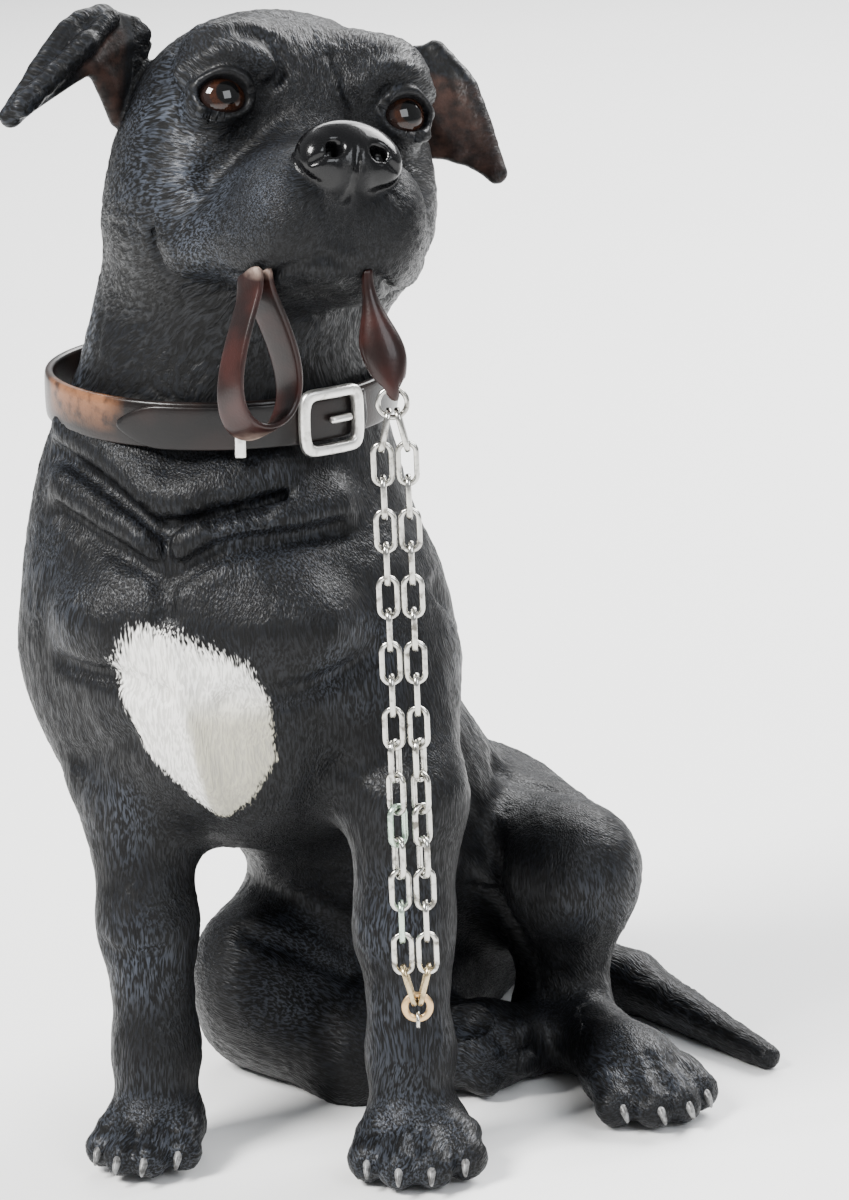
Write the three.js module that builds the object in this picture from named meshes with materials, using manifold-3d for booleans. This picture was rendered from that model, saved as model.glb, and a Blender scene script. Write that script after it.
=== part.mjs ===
// A sitting dog figurine with a collar, holding a folded lead with a doubled chain in its mouth.
// Millimetres, +Z up, the dog looks along -Y before its head turns, its own left side is +X.
import * as THREE from "three";
import { mergeVertices } from "three/addons/utils/BufferGeometryUtils.js";
import Module from "manifold-3d";

const CLEARANCE = 0.3; // between pieces that touch

// Heights above the floor
const CHEST_HEIGHT = 114;
const COLLAR_HEIGHT = 170;
const HEAD_HEIGHT = 215.5;
const ELBOW_HEIGHT = 82;
const WRIST_HEIGHT = 25;
const BELLY_HEIGHT = 60;
const KNEE_HEIGHT = 48;
const SEAT_HEIGHT = 16; // middle of the mass that fills the seat between the haunches

// Trunk
const CHEST_WIDTH = 91;
const CHEST_DEPTH = 86;
const CHEST_OFFSET = -16; // the dog leans onto its right side
const BELLY_WIDTH = 56;
const HIP_WIDTH = 86;
const RUMP_BACK = 62; // from the figure's middle back to the hips
const NECK_WIDTH = 66;
const NECK_DEPTH = 60;

// Front legs
const ARM_RADIUS = 19;
const ELBOW_RADIUS = 13;
const FOREARM_RADIUS = 10.2;
const WRIST_RADIUS = 8.8;
const PAW_SPREAD = 61; // middle of one front paw to middle of the other
const PAW_FRONT = 57; // from the figure's middle forward to the paws
const PAW_WIDTH = 27;
const PAW_LENGTH = 34;
const PAW_HEIGHT = 17;
const TOES = 4;

// Hind legs
const THIGH_RADIUS = 25;
const KNEE_RADIUS = 17;
const SHIN_RADIUS = 10;
const HIND_FOOT_LENGTH = 56;
const HIND_FOOT_TURN = 37; // degrees out from straight ahead

// Tail
const TAIL_LENGTH = 106;
const TAIL_ROOT_RADIUS = 9.5;
const TAIL_TIP_RADIUS = 3;

// Head
const HEAD_TURN = 33; // degrees to the dog's left
const HEAD_LIFT = 19.5;
const HEAD_ROLL = 9.8;
const HEAD_FORWARD = 24;
const SKULL_WIDTH = 65;
const SKULL_LENGTH = 68;
const SKULL_RISE = 41; // from the middle of the head to the top of the skull
const CHEEK_WIDTH = 72;
const MUZZLE_LENGTH = 31; // from the stop to the front of the lips
const MUZZLE_WIDTH = 42;
const JAW_DROP = 29; // from the middle of the head down to the chin
const NOSE_WIDTH = 23;
const NOSE_HEIGHT = 16;
const EAR_REACH = 18.5; // from the side of the skull out to the tip
const EAR_DROP = 32; // from the crown down to the tip
const EAR_FLARE = 9.5; // the right ear reaches out this much more
const EAR_THICKNESS = 3.6;
const EYE_RADIUS = 6;
const EYE_LID = 7.6; // outer radius of the lids
const EYE_OPENING = [11.5, 9, 7.6]; // across, forward, up
const EYE_SLANT = 16; // degrees, inner corners lower
const EYE_SPREAD = 40;
const EYE_FORWARD = 24;
const EYE_RISE = 13;

// Collar
const COLLAR_STRAP_WIDTH = 10.5;
const COLLAR_STRAP_THICKNESS = 2.4;
const COLLAR_SIDE_TILT = 2; // degrees, lower on the dog's left
const COLLAR_FRONT_TILT = 3; // degrees, lower in front
const COLLAR_STAND_OFF = 0.8; // from the neck to the inside of the strap
const COLLAR_STATIONS = 40;
const TONGUE_THICKNESS = 1.6;
const TONGUE_STEPS = 14;
const TONGUE_TIP_ANGLE = 250; // round the neck, from +X towards +Y
const BUCKLE_ANGLE = 319;
const KEEPER_ANGLE = 290;
const KEEPER_WIDTH = 2.4;
const KEEPER_THICKNESS = 1;
const BUCKLE_WIDTH = 16.6; // along the strap
const BUCKLE_HEIGHT = 15;
const BUCKLE_WIRE = 2.5;
const PRONG_WIRE = 1.9;

// Lead
const LOOP_DROP = 31; // from the lip down to the bottom of the loop
const LOOP_WIDTH = 17;
const LEAD_STRAP_WIDTH = 8.6;
const LEAD_STRAP_THICKNESS = 1.7;
const SOCKET_DEPTH = 4;
const TAB_DROP = 23.5;
const TAB_WIDTH = 10;
const TAB_THICKNESS = 6.4;
const TAB_NECK = 2.6; // width where it leaves the lip
const TAB_LEAN = 4.2; // its lower end stands this much towards the dog's left
const TAB_FORWARD = 3.6; // and this much forward
const TAB_BORE = 3.2;
const TAB_BORE_RISE = 2.6; // from the tab's lower end up to its bore
// Shares of the tab's drop, and of its swell in width and in thickness
const TAB_SHAPE = [[0, 0, 0], [0.14, 0.16, 0.3], [0.28, 0.48, 0.66], [0.42, 0.84, 0.92], [0.54, 1, 1], [0.66, 0.94, 1],
  [0.78, 0.66, 0.95], [0.88, 0.28, 0.8], [0.95, 0.02, 0.55], [1, -0.15, 0]];
const RING_DIAMETER = 7.6;
const RING_WIRE = 1.3;

// Chain
const CHAIN_LEVELS = 18;
const LINK_LENGTH = 9.9;
const LINK_WIDTH = 5;
const LINK_WIRE = 1.2;
const CHAIN_TURN = 15; // degrees, the flat of the chain towards the dog's left
const CHAIN_TWIST = 90; // degrees that each strand turns about itself on its way down
const TWIST_START = 8; // level where the twist starts
const TWIST_END = 15;
const WASHER_DIAMETER = 7.2;
const WASHER_BORE = 3.8;
const WASHER_THICKNESS = 1;
const END_LINK_LENGTH = 4.6;
const END_LINK_WIDTH = 4;
const END_LINK_WIRE = 1;

// Clay grid
const CLAY_CELL = 2.4;
const CLAY_TRIANGLES = 6200;
const COARSE_START = 0.004; // square millimetres times area that an edge's loss may cost at first
const COARSE_GROWTH = 1.5; // how fast that limit rises
const COARSE_STRETCH = 0.002; // what an edge's own length adds to its cost
const COARSE_TURN = 0.35; // least cosine between a face before and after
const COARSE_FLAT = 1e-4; // flatter places than this keep to the edge
const MERGE_DISTANCE = 1e-4;

const rad = THREE.MathUtils.degToRad;
const wasm = await Module();
wasm.setup();

// Distance functions of the clay
const smoothMin = (a, b, k) => {
  const h = Math.max(k - Math.abs(a - b), 0) / k;
  return Math.min(a, b) - (h * h * k) / 4;
};

// A ball stretched to three radii, its long axes turned about X, Y and Z in degrees
const ball = ([cx, cy, cz], [rx, ry, rz], turn = [0, 0, 0]) => {
  const e = new THREE.Matrix4()
    .makeRotationFromEuler(new THREE.Euler(rad(turn[0]), rad(turn[1]), rad(turn[2])))
    .transpose().elements;
  return (x, y, z) => {
    const px = x - cx;
    const py = y - cy;
    const pz = z - cz;
    const qx = (e[0] * px + e[4] * py + e[8] * pz) / rx;
    const qy = (e[1] * px + e[5] * py + e[9] * pz) / ry;
    const qz = (e[2] * px + e[6] * py + e[10] * pz) / rz;
    const k0 = Math.hypot(qx, qy, qz);
    const k1 = Math.hypot(qx / rx, qy / ry, qz / rz);
    return k1 > 1e-9 ? (k0 * (k0 - 1)) / k1 : -Math.min(rx, ry, rz);
  };
};

// A limb that tapers from one point to another
const limb = ([ax, ay, az], [bx, by, bz], ra, rb) => {
  const dx = bx - ax;
  const dy = by - ay;
  const dz = bz - az;
  const dd = dx * dx + dy * dy + dz * dz;
  return (x, y, z) => {
    const px = x - ax;
    const py = y - ay;
    const pz = z - az;
    const t = Math.min(1, Math.max(0, (px * dx + py * dy + pz * dz) / dd));
    return Math.hypot(px - t * dx, py - t * dy, pz - t * dz) - (ra + (rb - ra) * t);
  };
};

// A flat flap with three corners and rounded edges
const flap = (corners, radius) => {
  const triangle = new THREE.Triangle(...corners.map((corner) => new THREE.Vector3(...corner)));
  const here = new THREE.Vector3();
  const nearest = new THREE.Vector3();
  return (x, y, z) => triangle.closestPointToPoint(here.set(x, y, z), nearest).distanceTo(here) - radius;
};

const add = (shape, blend) => ({ shape, blend, sign: 1 });
const carve = (shape, blend) => ({ shape, blend, sign: -1 });

// A lump of clay in its own frame: where it sits and how it is turned
const lump = (origin, turn, dabs) => {
  const matrix = new THREE.Matrix4().makeRotationFromEuler(turn);
  matrix.setPosition(...origin);
  const inverse = matrix.clone().invert().elements;
  return { matrix, inverse, dabs };
};

const lumpDistance = ({ inverse: e, dabs }, x, y, z) => {
  const px = e[0] * x + e[4] * y + e[8] * z + e[12];
  const py = e[1] * x + e[5] * y + e[9] * z + e[13];
  const pz = e[2] * x + e[6] * y + e[10] * z + e[14];
  let d = 1e3;
  for (const { shape, blend, sign } of dabs) {
    const s = shape(px, py, pz);
    d = sign > 0 ? smoothMin(d, s, blend) : -smoothMin(-d, s, blend);
  }
  return d;
};

const noTurn = new THREE.Euler();

// Trunk: ribcage, breast, belly, hips and the two haunches
const chest = [CHEST_OFFSET - 1, -20, CHEST_HEIGHT];
const collarMiddle = [CHEST_OFFSET - 4, -13, COLLAR_HEIGHT];
const belly = [-1, 28, BELLY_HEIGHT - 2];
const hips = [4, RUMP_BACK, 38];
const neckTop = [CHEST_OFFSET + 1.5, -16, HEAD_HEIGHT - 14];
const neckRound = (NECK_WIDTH + NECK_DEPTH) / 4;
const shoulderSide = CHEST_WIDTH * 0.36;
const trunk = lump([0, 0, 0], noTurn, [
  add(ball(chest, [CHEST_WIDTH / 2 - 1, CHEST_DEPTH / 2, 48], [-14, 0, 0]), 10),
  add(ball([CHEST_OFFSET - 10, -10, CHEST_HEIGHT + 27], [CHEST_WIDTH * 0.4, CHEST_DEPTH * 0.42, 31]), 12),
  add(limb([chest[0], 4, CHEST_HEIGHT - 14], belly, CHEST_DEPTH * 0.42, BELLY_WIDTH / 2), 18),
  add(limb(belly, hips, BELLY_WIDTH / 2, HIP_WIDTH * 0.35), 14),
  add(ball([CHEST_OFFSET - 2, -45, CHEST_HEIGHT + 4], [30, 18, 30]), 10),
  add(ball([CHEST_OFFSET + 2, -46, CHEST_HEIGHT - 18], [20, 14, 18]), 12),
  add(ball([CHEST_OFFSET - shoulderSide + 2, -20, CHEST_HEIGHT + 6], [20, 27, 38]), 12),
  add(ball([CHEST_OFFSET + shoulderSide - 8, -18, CHEST_HEIGHT - 6], [18, 27, 34]), 12),
  add(limb([collarMiddle[0] - 2, -12, COLLAR_HEIGHT - 14], neckTop, neckRound * 1.17, neckRound * 0.94), 14),
]);

// Front legs, from the upper arm down to the paw
const frontLeg = (side, arm, elbow, wrist) =>
  lump([0, 0, 0], noTurn, [
    add(limb(arm, elbow, ARM_RADIUS, ELBOW_RADIUS), 8),
    add(limb(elbow, [(elbow[0] + wrist[0]) / 2 - side * 0.6, wrist[1] + 3, (ELBOW_HEIGHT + WRIST_HEIGHT) / 2],
      ELBOW_RADIUS, FOREARM_RADIUS), 6),
    add(limb([(elbow[0] + wrist[0]) / 2 - side * 0.6, wrist[1] + 3, (ELBOW_HEIGHT + WRIST_HEIGHT) / 2], wrist,
      FOREARM_RADIUS, WRIST_RADIUS), 6),
    add(limb(wrist, [wrist[0], wrist[1] - 3, PAW_HEIGHT * 0.6], WRIST_RADIUS, WRIST_RADIUS), 6),
  ]);

const pawMiddle = (side) => [-2.5 + (side * PAW_SPREAD) / 2, -PAW_FRONT + (side > 0 ? 3 : 0), 0];

// A paw: the back of the foot and a row of toes, pointing along -Y of its own frame
const paw = (origin, turn, width, length, height) => {
  const toeWidth = width / TOES;
  const dabs = [
    add(ball([0, length * 0.12, height * 0.45], [width * 0.42, length * 0.36, height * 0.55]), 4),
  ];
  for (let toe = 0; toe < TOES; toe++) {
    const across = toe - (TOES - 1) / 2;
    const reach = length * (0.5 - 0.075 * across * across);
    const spread = across * toeWidth * 0.97;
    dabs.push(add(limb([spread * 0.8, 0, height * 0.5], [spread, -reach + toeWidth * 0.7, height * 0.33],
      toeWidth * 0.62, toeWidth * 0.68), 2.2));
  }
  return lump(origin, new THREE.Euler(0, 0, rad(turn)), dabs);
};

// Hind legs: the left foot stands beside the haunch, the right leg lies folded under the belly
const leftKnee = [47, 20, KNEE_HEIGHT];
const leftHock = [42, 28, 10];
const hindPaw = [leftHock[0] + HIND_FOOT_LENGTH * 0.5, leftHock[1] - HIND_FOOT_LENGTH * 0.66, 0];
const rightKnee = [-22, 4, 25];
const rightHock = [2, -6, 10];
const rightFoot = [30, 1, 11];
const rightToes = [37, 11, 9];
const hindLegs = lump([0, 0, 0], noTurn, [
  add(limb([20, RUMP_BACK - 4, 40], leftKnee, THIGH_RADIUS, KNEE_RADIUS), 6),
  add(limb(leftKnee, leftHock, KNEE_RADIUS - 4, SHIN_RADIUS), 8),
  add(limb([-12, RUMP_BACK - 6, 34], rightKnee, THIGH_RADIUS, KNEE_RADIUS + 1), 8),
  add(limb(rightKnee, rightHock, KNEE_RADIUS, SHIN_RADIUS + 1), 8),
  add(limb(rightHock, rightFoot, SHIN_RADIUS + 1, SHIN_RADIUS), 6),
  add(limb(rightFoot, rightToes, SHIN_RADIUS, SHIN_RADIUS - 1), 4),
  add(limb([0, RUMP_BACK, SEAT_HEIGHT], [2, 18, SEAT_HEIGHT], 24, 20), 10),
  add(limb([-28, 12, 13], [0, -4, 10], 14, 11), 9),
]);

// Tail: it leaves the rump and curls round to the dog's left on the floor
const tailRoot = [8, RUMP_BACK + 24, 14];
const tailBend = [tailRoot[0] + TAIL_LENGTH * 0.42, tailRoot[1] - TAIL_LENGTH * 0.22, 7];
const tailTip = [tailBend[0] + TAIL_LENGTH * 0.38, tailBend[1] - TAIL_LENGTH * 0.36, TAIL_TIP_RADIUS];
const tailMiddleRadius = (TAIL_ROOT_RADIUS + TAIL_TIP_RADIUS) / 2 + 0.8;
const tail = lump([0, 0, 0], noTurn, [
  add(limb(tailRoot, tailBend, TAIL_ROOT_RADIUS, tailMiddleRadius), 8),
  add(limb(tailBend, tailTip, tailMiddleRadius, TAIL_TIP_RADIUS), 4),
]);

// Head, in its own frame: -Y to the nose, +Z to the crown
const headOrigin = [CHEST_OFFSET + 12, -HEAD_FORWARD, HEAD_HEIGHT - 0.8];
const headTurn = new THREE.Euler(-rad(HEAD_LIFT), rad(HEAD_ROLL), rad(HEAD_TURN), "ZYX");
const lipFront = EYE_FORWARD + MUZZLE_LENGTH - 4;
const muzzleDrop = JAW_DROP * 0.31;
const noseDrop = 4.5;
const headDabs = [
  add(ball([0, 3, SKULL_RISE - 28], [SKULL_WIDTH / 2, SKULL_LENGTH / 2, 28]), 6),
  add(ball([0, -17, EYE_RISE + 5], [15, 12, 12]), 6),
  add(limb([0, 4, -10], [0, -lipFront + 14, -JAW_DROP + 11], JAW_DROP * 0.78, 9), 8),
  add(limb([0, -14, 0], [0, -lipFront + 11, -noseDrop - 4.5], 15, 9.5), 8),
];
for (const side of [-1, 1]) {
  headDabs.push(
    add(ball([side * (CHEEK_WIDTH / 2 - 17.5), 0, -2], [17.5, 24, 22]), 8),
    add(ball([side * 15, -EYE_FORWARD + 4, EYE_RISE + 11], [13, 10, 8.5]), 5),
    add(ball([side * (MUZZLE_WIDTH / 2 - 11.5), -lipFront + 18.5, -muzzleDrop - 6], [11.5, 20, 15], [-6, 0, side * 6]),
      8),
    add(ball([(side * EYE_SPREAD) / 2, -EYE_FORWARD, EYE_RISE], [EYE_LID, EYE_LID, EYE_LID]), 3),
  );
}
headDabs.push(
  carve(limb([0, -lipFront - 1, -noseDrop - NOSE_HEIGHT / 2 - 1], [0, -lipFront, -muzzleDrop - 14], 1.4, 1), 2),
  add(ball([0, -lipFront + 1, -noseDrop], [NOSE_WIDTH / 2, 6.5, NOSE_HEIGHT / 2]), 1.5),
);

// Ears: each flap leaves the side of the skull, folds over and falls to its tip
const ears = [
  { side: -1, reach: EAR_REACH + EAR_FLARE, drop: EAR_DROP * 0.95, bend: [EAR_REACH - 3.5, EAR_DROP * 0.28],
    notch: [EAR_REACH - 9, EAR_DROP * 0.5] },
  { side: 1, reach: EAR_REACH, drop: EAR_DROP, bend: [EAR_REACH - 5.5, EAR_DROP * 0.38],
    notch: [EAR_REACH - 8, EAR_DROP * 0.86] },
];
for (const { side, reach, drop, bend, notch } of ears) {
  const at = (out, y, drop) => [side * (SKULL_WIDTH / 2 + out), y, SKULL_RISE - drop];
  const root = at(-5, 5, 5);
  const crest = at(EAR_REACH * 0.34, 4, 3.5);
  const fold = at(bend[0], 1, bend[1]);
  const tip = at(reach, -3, drop);
  const inner = at(notch[0], 0, notch[1]);
  const base = at(2, 5, EAR_DROP * 0.82);
  for (const corners of [[root, crest, inner], [crest, fold, inner], [fold, tip, inner], [root, inner, base]]) {
    headDabs.push(add(flap(corners, EAR_THICKNESS / 2), 1.5));
  }
}
const head = lump(headOrigin, headTurn, headDabs);

const leftArm = [CHEST_OFFSET + shoulderSide - 3.5, -24, CHEST_HEIGHT - 8];
const rightArm = [CHEST_OFFSET - shoulderSide + 2.5, -26, CHEST_HEIGHT - 4];
const leftPaw = pawMiddle(1);
const rightPaw = pawMiddle(-1);
const clay = [
  { piece: trunk, blend: 1 },
  { piece: hindLegs, blend: 9 },
  { piece: frontLeg(-1, rightArm, [rightPaw[0] - 4, -41, ELBOW_HEIGHT],
    [rightPaw[0], -PAW_FRONT + 6, WRIST_HEIGHT]), blend: 9 },
  { piece: frontLeg(1, leftArm, [leftPaw[0] - 4, -38, ELBOW_HEIGHT],
    [leftPaw[0] - 3, -PAW_FRONT + 11, WRIST_HEIGHT]), blend: 9 },
  { piece: paw(rightPaw, 0, PAW_WIDTH * 0.94, PAW_LENGTH, PAW_HEIGHT), blend: 5 },
  { piece: paw(leftPaw, 12, PAW_WIDTH * 1.08, PAW_LENGTH, PAW_HEIGHT), blend: 5 },
  { piece: paw(hindPaw, HIND_FOOT_TURN, PAW_WIDTH * 1.05, HIND_FOOT_LENGTH * 0.62, PAW_HEIGHT), blend: 5 },
  { piece: lump([0, 0, 0], noTurn, [add(limb(leftHock, [63, 0, 9], SHIN_RADIUS, SHIN_RADIUS - 1), 5)]),
    blend: 7 },
  { piece: tail, blend: 10 },
  { piece: head, blend: 12 },
];

const field = (x, y, z) => {
  let d = 1e3;
  for (const { piece, blend } of clay) {
    d = smoothMin(d, lumpDistance(piece, x, y, z), blend);
  }
  return d;
};

// The clay's skin: each cell of the grid is cut into six tetrahedra, so the skin closes on itself
const skinOf = (distance, low, high, cell) => {
  const count = low.map((v, i) => Math.ceil((high[i] - v) / cell) + 1);
  const [nx, ny] = count;
  const values = new Float32Array(nx * ny * count[2]);
  const block = 4;
  const reach = cell * block;
  const corner = (i, axis) => low[axis] + i * cell;
  for (let bz = 0; bz < count[2]; bz += block) {
    for (let by = 0; by < ny; by += block) {
      for (let bx = 0; bx < nx; bx += block) {
        const middle = distance(corner(bx + 1.5, 0), corner(by + 1.5, 1), corner(bz + 1.5, 2));
        const far = Math.abs(middle) > reach * 1.4;
        for (let k = bz; k < Math.min(bz + block, count[2]); k++) {
          for (let j = by; j < Math.min(by + block, ny); j++) {
            for (let i = bx; i < Math.min(bx + block, nx); i++) {
              values[i + nx * (j + ny * k)] = far ? middle : distance(corner(i, 0), corner(j, 1), corner(k, 2));
            }
          }
        }
      }
    }
  }
  const steps = [1, nx, nx * ny];
  const paths = [[0, 1, 2], [0, 2, 1], [1, 0, 2], [1, 2, 0], [2, 0, 1], [2, 1, 0]];
  const even = [true, false, false, true, true, false];
  const points = [];
  const faces = [];
  const made = new Map();
  const place = (n) => {
    const i = n % nx;
    const j = Math.floor(n / nx) % ny;
    return [corner(i, 0), corner(j, 1), corner(Math.floor(n / (nx * ny)), 2)];
  };
  const crossing = (a, b) => {
    const key = Math.min(a, b) * values.length + Math.max(a, b);
    if (!made.has(key)) {
      const t = Math.min(0.97, Math.max(0.03, values[a] / (values[a] - values[b])));
      const pa = place(a);
      const pb = place(b);
      made.set(key, points.length / 3);
      points.push(...pa.map((v, i) => v + (pb[i] - v) * t));
    }
    return made.get(key);
  };
  const face = (facing, a, b, c) => faces.push(...(facing ? [a, b, c] : [a, c, b]));
  for (let k = 0; k < count[2] - 1; k++) {
    for (let j = 0; j < ny - 1; j++) {
      for (let i = 0; i < nx - 1; i++) {
        const n = i + nx * (j + ny * k);
        const inside = values[n] < 0;
        const all = [1, nx, nx + 1, nx * ny, nx * ny + 1, nx * ny + nx, nx * ny + nx + 1];
        if (all.every((o) => values[n + o] < 0 === inside)) continue;
        paths.forEach((path, p) => {
          const t = [n];
          for (const axis of path) t.push(t[t.length - 1] + steps[axis]);
          const within = t.map((m) => values[m] < 0);
          const inner = [0, 1, 2, 3].filter((m) => within[m]);
          const outer = [0, 1, 2, 3].filter((m) => !within[m]);
          if (!inner.length || !outer.length) return;
          const order = [...inner, ...outer];
          let swaps = 0;
          for (let a = 0; a < 4; a++) for (let b = a + 1; b < 4; b++) if (order[a] > order[b]) swaps++;
          const facing = even[p] === (swaps % 2 === 0);
          const [a, b, c, d] = order.map((m) => t[m]);
          if (inner.length === 1) {
            face(facing, crossing(a, b), crossing(a, c), crossing(a, d));
          } else if (inner.length === 3) {
            face(facing, crossing(a, d), crossing(b, d), crossing(c, d));
          } else {
            face(facing, crossing(a, c), crossing(a, d), crossing(b, d));
            face(facing, crossing(a, c), crossing(b, d), crossing(b, c));
          }
        });
      }
    }
  }
  const geometry = new THREE.BufferGeometry();
  geometry.setAttribute("position", new THREE.Float32BufferAttribute(points, 3));
  geometry.setIndex(faces);
  return geometry;
};

// Makes a skin coarser, edge by edge: an edge goes while its loss moves the surface less than a limit that rises
// slowly, and never where the loss would pinch the skin or turn a face over
const coarsened = (geometry, target) => {
  const { position } = geometry.attributes;
  const pointAt = (_, i) => new THREE.Vector3().fromBufferAttribute(position, i);
  const points = Array.from({ length: position.count }, pointAt);
  const faces = [];
  for (let i = 0; i < geometry.index.count; i += 3) {
    faces.push([0, 1, 2].map((c) => geometry.index.getX(i + c)));
  }
  const around = points.map(() => new Set());
  const errors = points.map(() => new Float64Array(10));
  const normalOf = (a, b, c) => new THREE.Vector3().subVectors(b, a).cross(new THREE.Vector3().subVectors(c, a));
  faces.forEach((face, f) => {
    const normal = normalOf(...face.map((v) => points[v]));
    const area = normal.length() / 2;
    const plane = [...normal.normalize().toArray(), -normal.dot(points[face[0]])];
    for (const v of face) {
      around[v].add(f);
      let n = 0;
      for (let i = 0; i < 4; i++) for (let j = i; j < 4; j++) errors[v][n++] += area * plane[i] * plane[j];
    }
  });
  const errorAt = (e, { x, y, z }) =>
    e[0] * x * x + e[4] * y * y + e[7] * z * z + 2 * (e[1] * x * y + e[2] * x * z + e[5] * y * z)
    + 2 * (e[3] * x + e[6] * y + e[8] * z) + e[9];
  const bestPlace = (e, a, b) => {
    const middle = a.clone().lerp(b, 0.5);
    const choices = [middle, a, b];
    const matrix = new THREE.Matrix3().set(e[0], e[1], e[2], e[1], e[4], e[5], e[2], e[5], e[7]);
    if (matrix.determinant() > COARSE_FLAT * (e[0] + e[4] + e[7]) ** 3) {
      const solved = new THREE.Vector3(-e[3], -e[6], -e[8]).applyMatrix3(matrix.invert());
      if (solved.distanceTo(middle) < a.distanceTo(b)) choices.push(solved);
    }
    return choices.reduce((best, p) => (errorAt(e, p) < errorAt(e, best) ? p : best));
  };
  const neighbours = (v) => new Set([...around[v]].flatMap((f) => faces[f]).filter((w) => w !== v));
  const collapse = (a, b, limit) => {
    const error = errors[a].map((v, i) => v + errors[b][i]);
    const to = bestPlace(error, points[a], points[b]);
    const stretch = points[a].distanceToSquared(points[b]) * COARSE_STRETCH;
    if (errorAt(error, to) + stretch > limit) return false;
    const besideB = neighbours(b);
    if ([...neighbours(a)].filter((v) => besideB.has(v)).length !== 2) return false;
    for (const [v, w] of [[a, b], [b, a]]) {
      for (const f of around[v]) {
        if (faces[f].includes(w)) continue;
        const before = normalOf(...faces[f].map((i) => points[i]));
        const after = normalOf(...faces[f].map((i) => (i === v ? to : points[i])));
        if (after.dot(before) < COARSE_TURN * after.length() * before.length()) return false;
      }
    }
    for (const f of around[b]) {
      if (faces[f].includes(a)) {
        for (const v of faces[f]) if (v !== b) around[v].delete(f);
        faces[f] = null;
      } else {
        faces[f] = faces[f].map((v) => (v === b ? a : v));
        around[a].add(f);
      }
    }
    around[b].clear();
    points[a] = to.clone();
    errors[a] = error;
    return true;
  };
  let left = faces.length;
  for (let limit = COARSE_START; left > target; limit *= COARSE_GROWTH) {
    for (let f = 0; f < faces.length && left > target; f++) {
      for (let c = 0; faces[f] && c < 3; c++) {
        if (collapse(faces[f][c], faces[f][(c + 1) % 3], limit)) left -= 2;
      }
    }
  }
  const coarse = new THREE.BufferGeometry().setFromPoints(points);
  coarse.setIndex(faces.filter((face) => face).flat());
  return coarse;
};

// Solids are joined and cut as closed meshes
const solidOf = (geometry) => {
  const bare = geometry.clone();
  bare.deleteAttribute("normal");
  bare.deleteAttribute("uv");
  const merged = mergeVertices(bare, MERGE_DISTANCE);
  return new wasm.Manifold(new wasm.Mesh({
    numProp: 3,
    vertProperties: merged.attributes.position.array,
    triVerts: new Uint32Array(merged.index.array),
  }));
};

const geometryOf = (solid) => {
  const mesh = solid.getMesh();
  const geometry = new THREE.BufferGeometry();
  const points = new Float32Array((mesh.vertProperties.length / mesh.numProp) * 3);
  for (let i = 0; i * mesh.numProp < mesh.vertProperties.length; i++) {
    points.set(mesh.vertProperties.subarray(i * mesh.numProp, i * mesh.numProp + 3), i * 3);
  }
  geometry.setAttribute("position", new THREE.BufferAttribute(points, 3));
  geometry.setIndex(new THREE.BufferAttribute(new Uint32Array(mesh.triVerts), 1));
  return geometry;
};

// The box of the grid stands clear of the clay on every side, and the floor below takes its sizes from it
const gridLow = [-(SKULL_WIDTH + EAR_REACH + EAR_FLARE) - 7, -(PAW_FRONT + PAW_LENGTH) - 14, -8];
const gridHigh = [tailTip[0] + TAIL_LENGTH * 0.3, RUMP_BACK + HIP_WIDTH / 2 + 20, HEAD_HEIGHT + SKULL_RISE + 12];
const skin = skinOf(field, gridLow, gridHigh, CLAY_CELL);
const coarse = coarsened(skin, CLAY_TRIANGLES);
const floorSize = 2 * (gridHigh[1] - gridLow[1]);
const floor = new THREE.BoxGeometry(floorSize, floorSize, PAW_HEIGHT * 2).translate(0, 0, -PAW_HEIGHT);
// A thin crevice can close to a bubble where the skin is made coarser, so only the outer skin is kept
const outerSkin = solidOf(coarse).decompose().reduce((a, b) => (a.volume() > b.volume() ? a : b));
const casting = outerSkin.subtract(solidOf(floor));

// A loft: the section [across, up] is carried along stations, each with its own middle and axes
const loft = (stations, sectionAt, closed) => {
  const points = [];
  const faces = [];
  const count = sectionAt(0).length;
  stations.forEach(({ middle, across, up }, i) => {
    for (const [a, b] of sectionAt(i)) {
      points.push(...middle.clone().addScaledVector(across, a).addScaledVector(up, b).toArray());
    }
  });
  const rings = stations.length;
  for (let i = 0; i < (closed ? rings : rings - 1); i++) {
    const next = ((i + 1) % rings) * count;
    for (let j = 0; j < count; j++) {
      const k = (j + 1) % count;
      faces.push(i * count + j, next + j, next + k, i * count + j, next + k, i * count + k);
    }
  }
  if (!closed) {
    const last = (rings - 1) * count;
    for (let j = 1; j < count - 1; j++) {
      faces.push(0, j, j + 1, last, last + j + 1, last + j);
    }
  }
  const geometry = new THREE.BufferGeometry();
  geometry.setAttribute("position", new THREE.Float32BufferAttribute(points, 3));
  geometry.setIndex(faces);
  const solid = solidOf(geometry);
  if (solid.volume() > 0) return solid;
  for (let i = 0; i < faces.length; i += 3) [faces[i + 1], faces[i + 2]] = [faces[i + 2], faces[i + 1]];
  geometry.setIndex(faces);
  return solidOf(geometry);
};

const moved = (geometry, matrix) => solidOf(geometry.clone().applyMatrix4(matrix));

// Sections, as rings of points
const round = (width, height, sides) =>
  Array.from({ length: sides }, (_, i) => {
    const t = ((i + 0.5) / sides) * 2 * Math.PI;
    return [(Math.cos(t) * width) / 2, (Math.sin(t) * height) / 2];
  });
const chamfered = (width, height, cut) => {
  const w = width / 2;
  const h = height / 2;
  return [[w, h - cut], [w - cut, h], [cut - w, h], [-w, h - cut], [-w, cut - h], [cut - w, -h], [w - cut, -h],
    [w, cut - h]];
};

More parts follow.
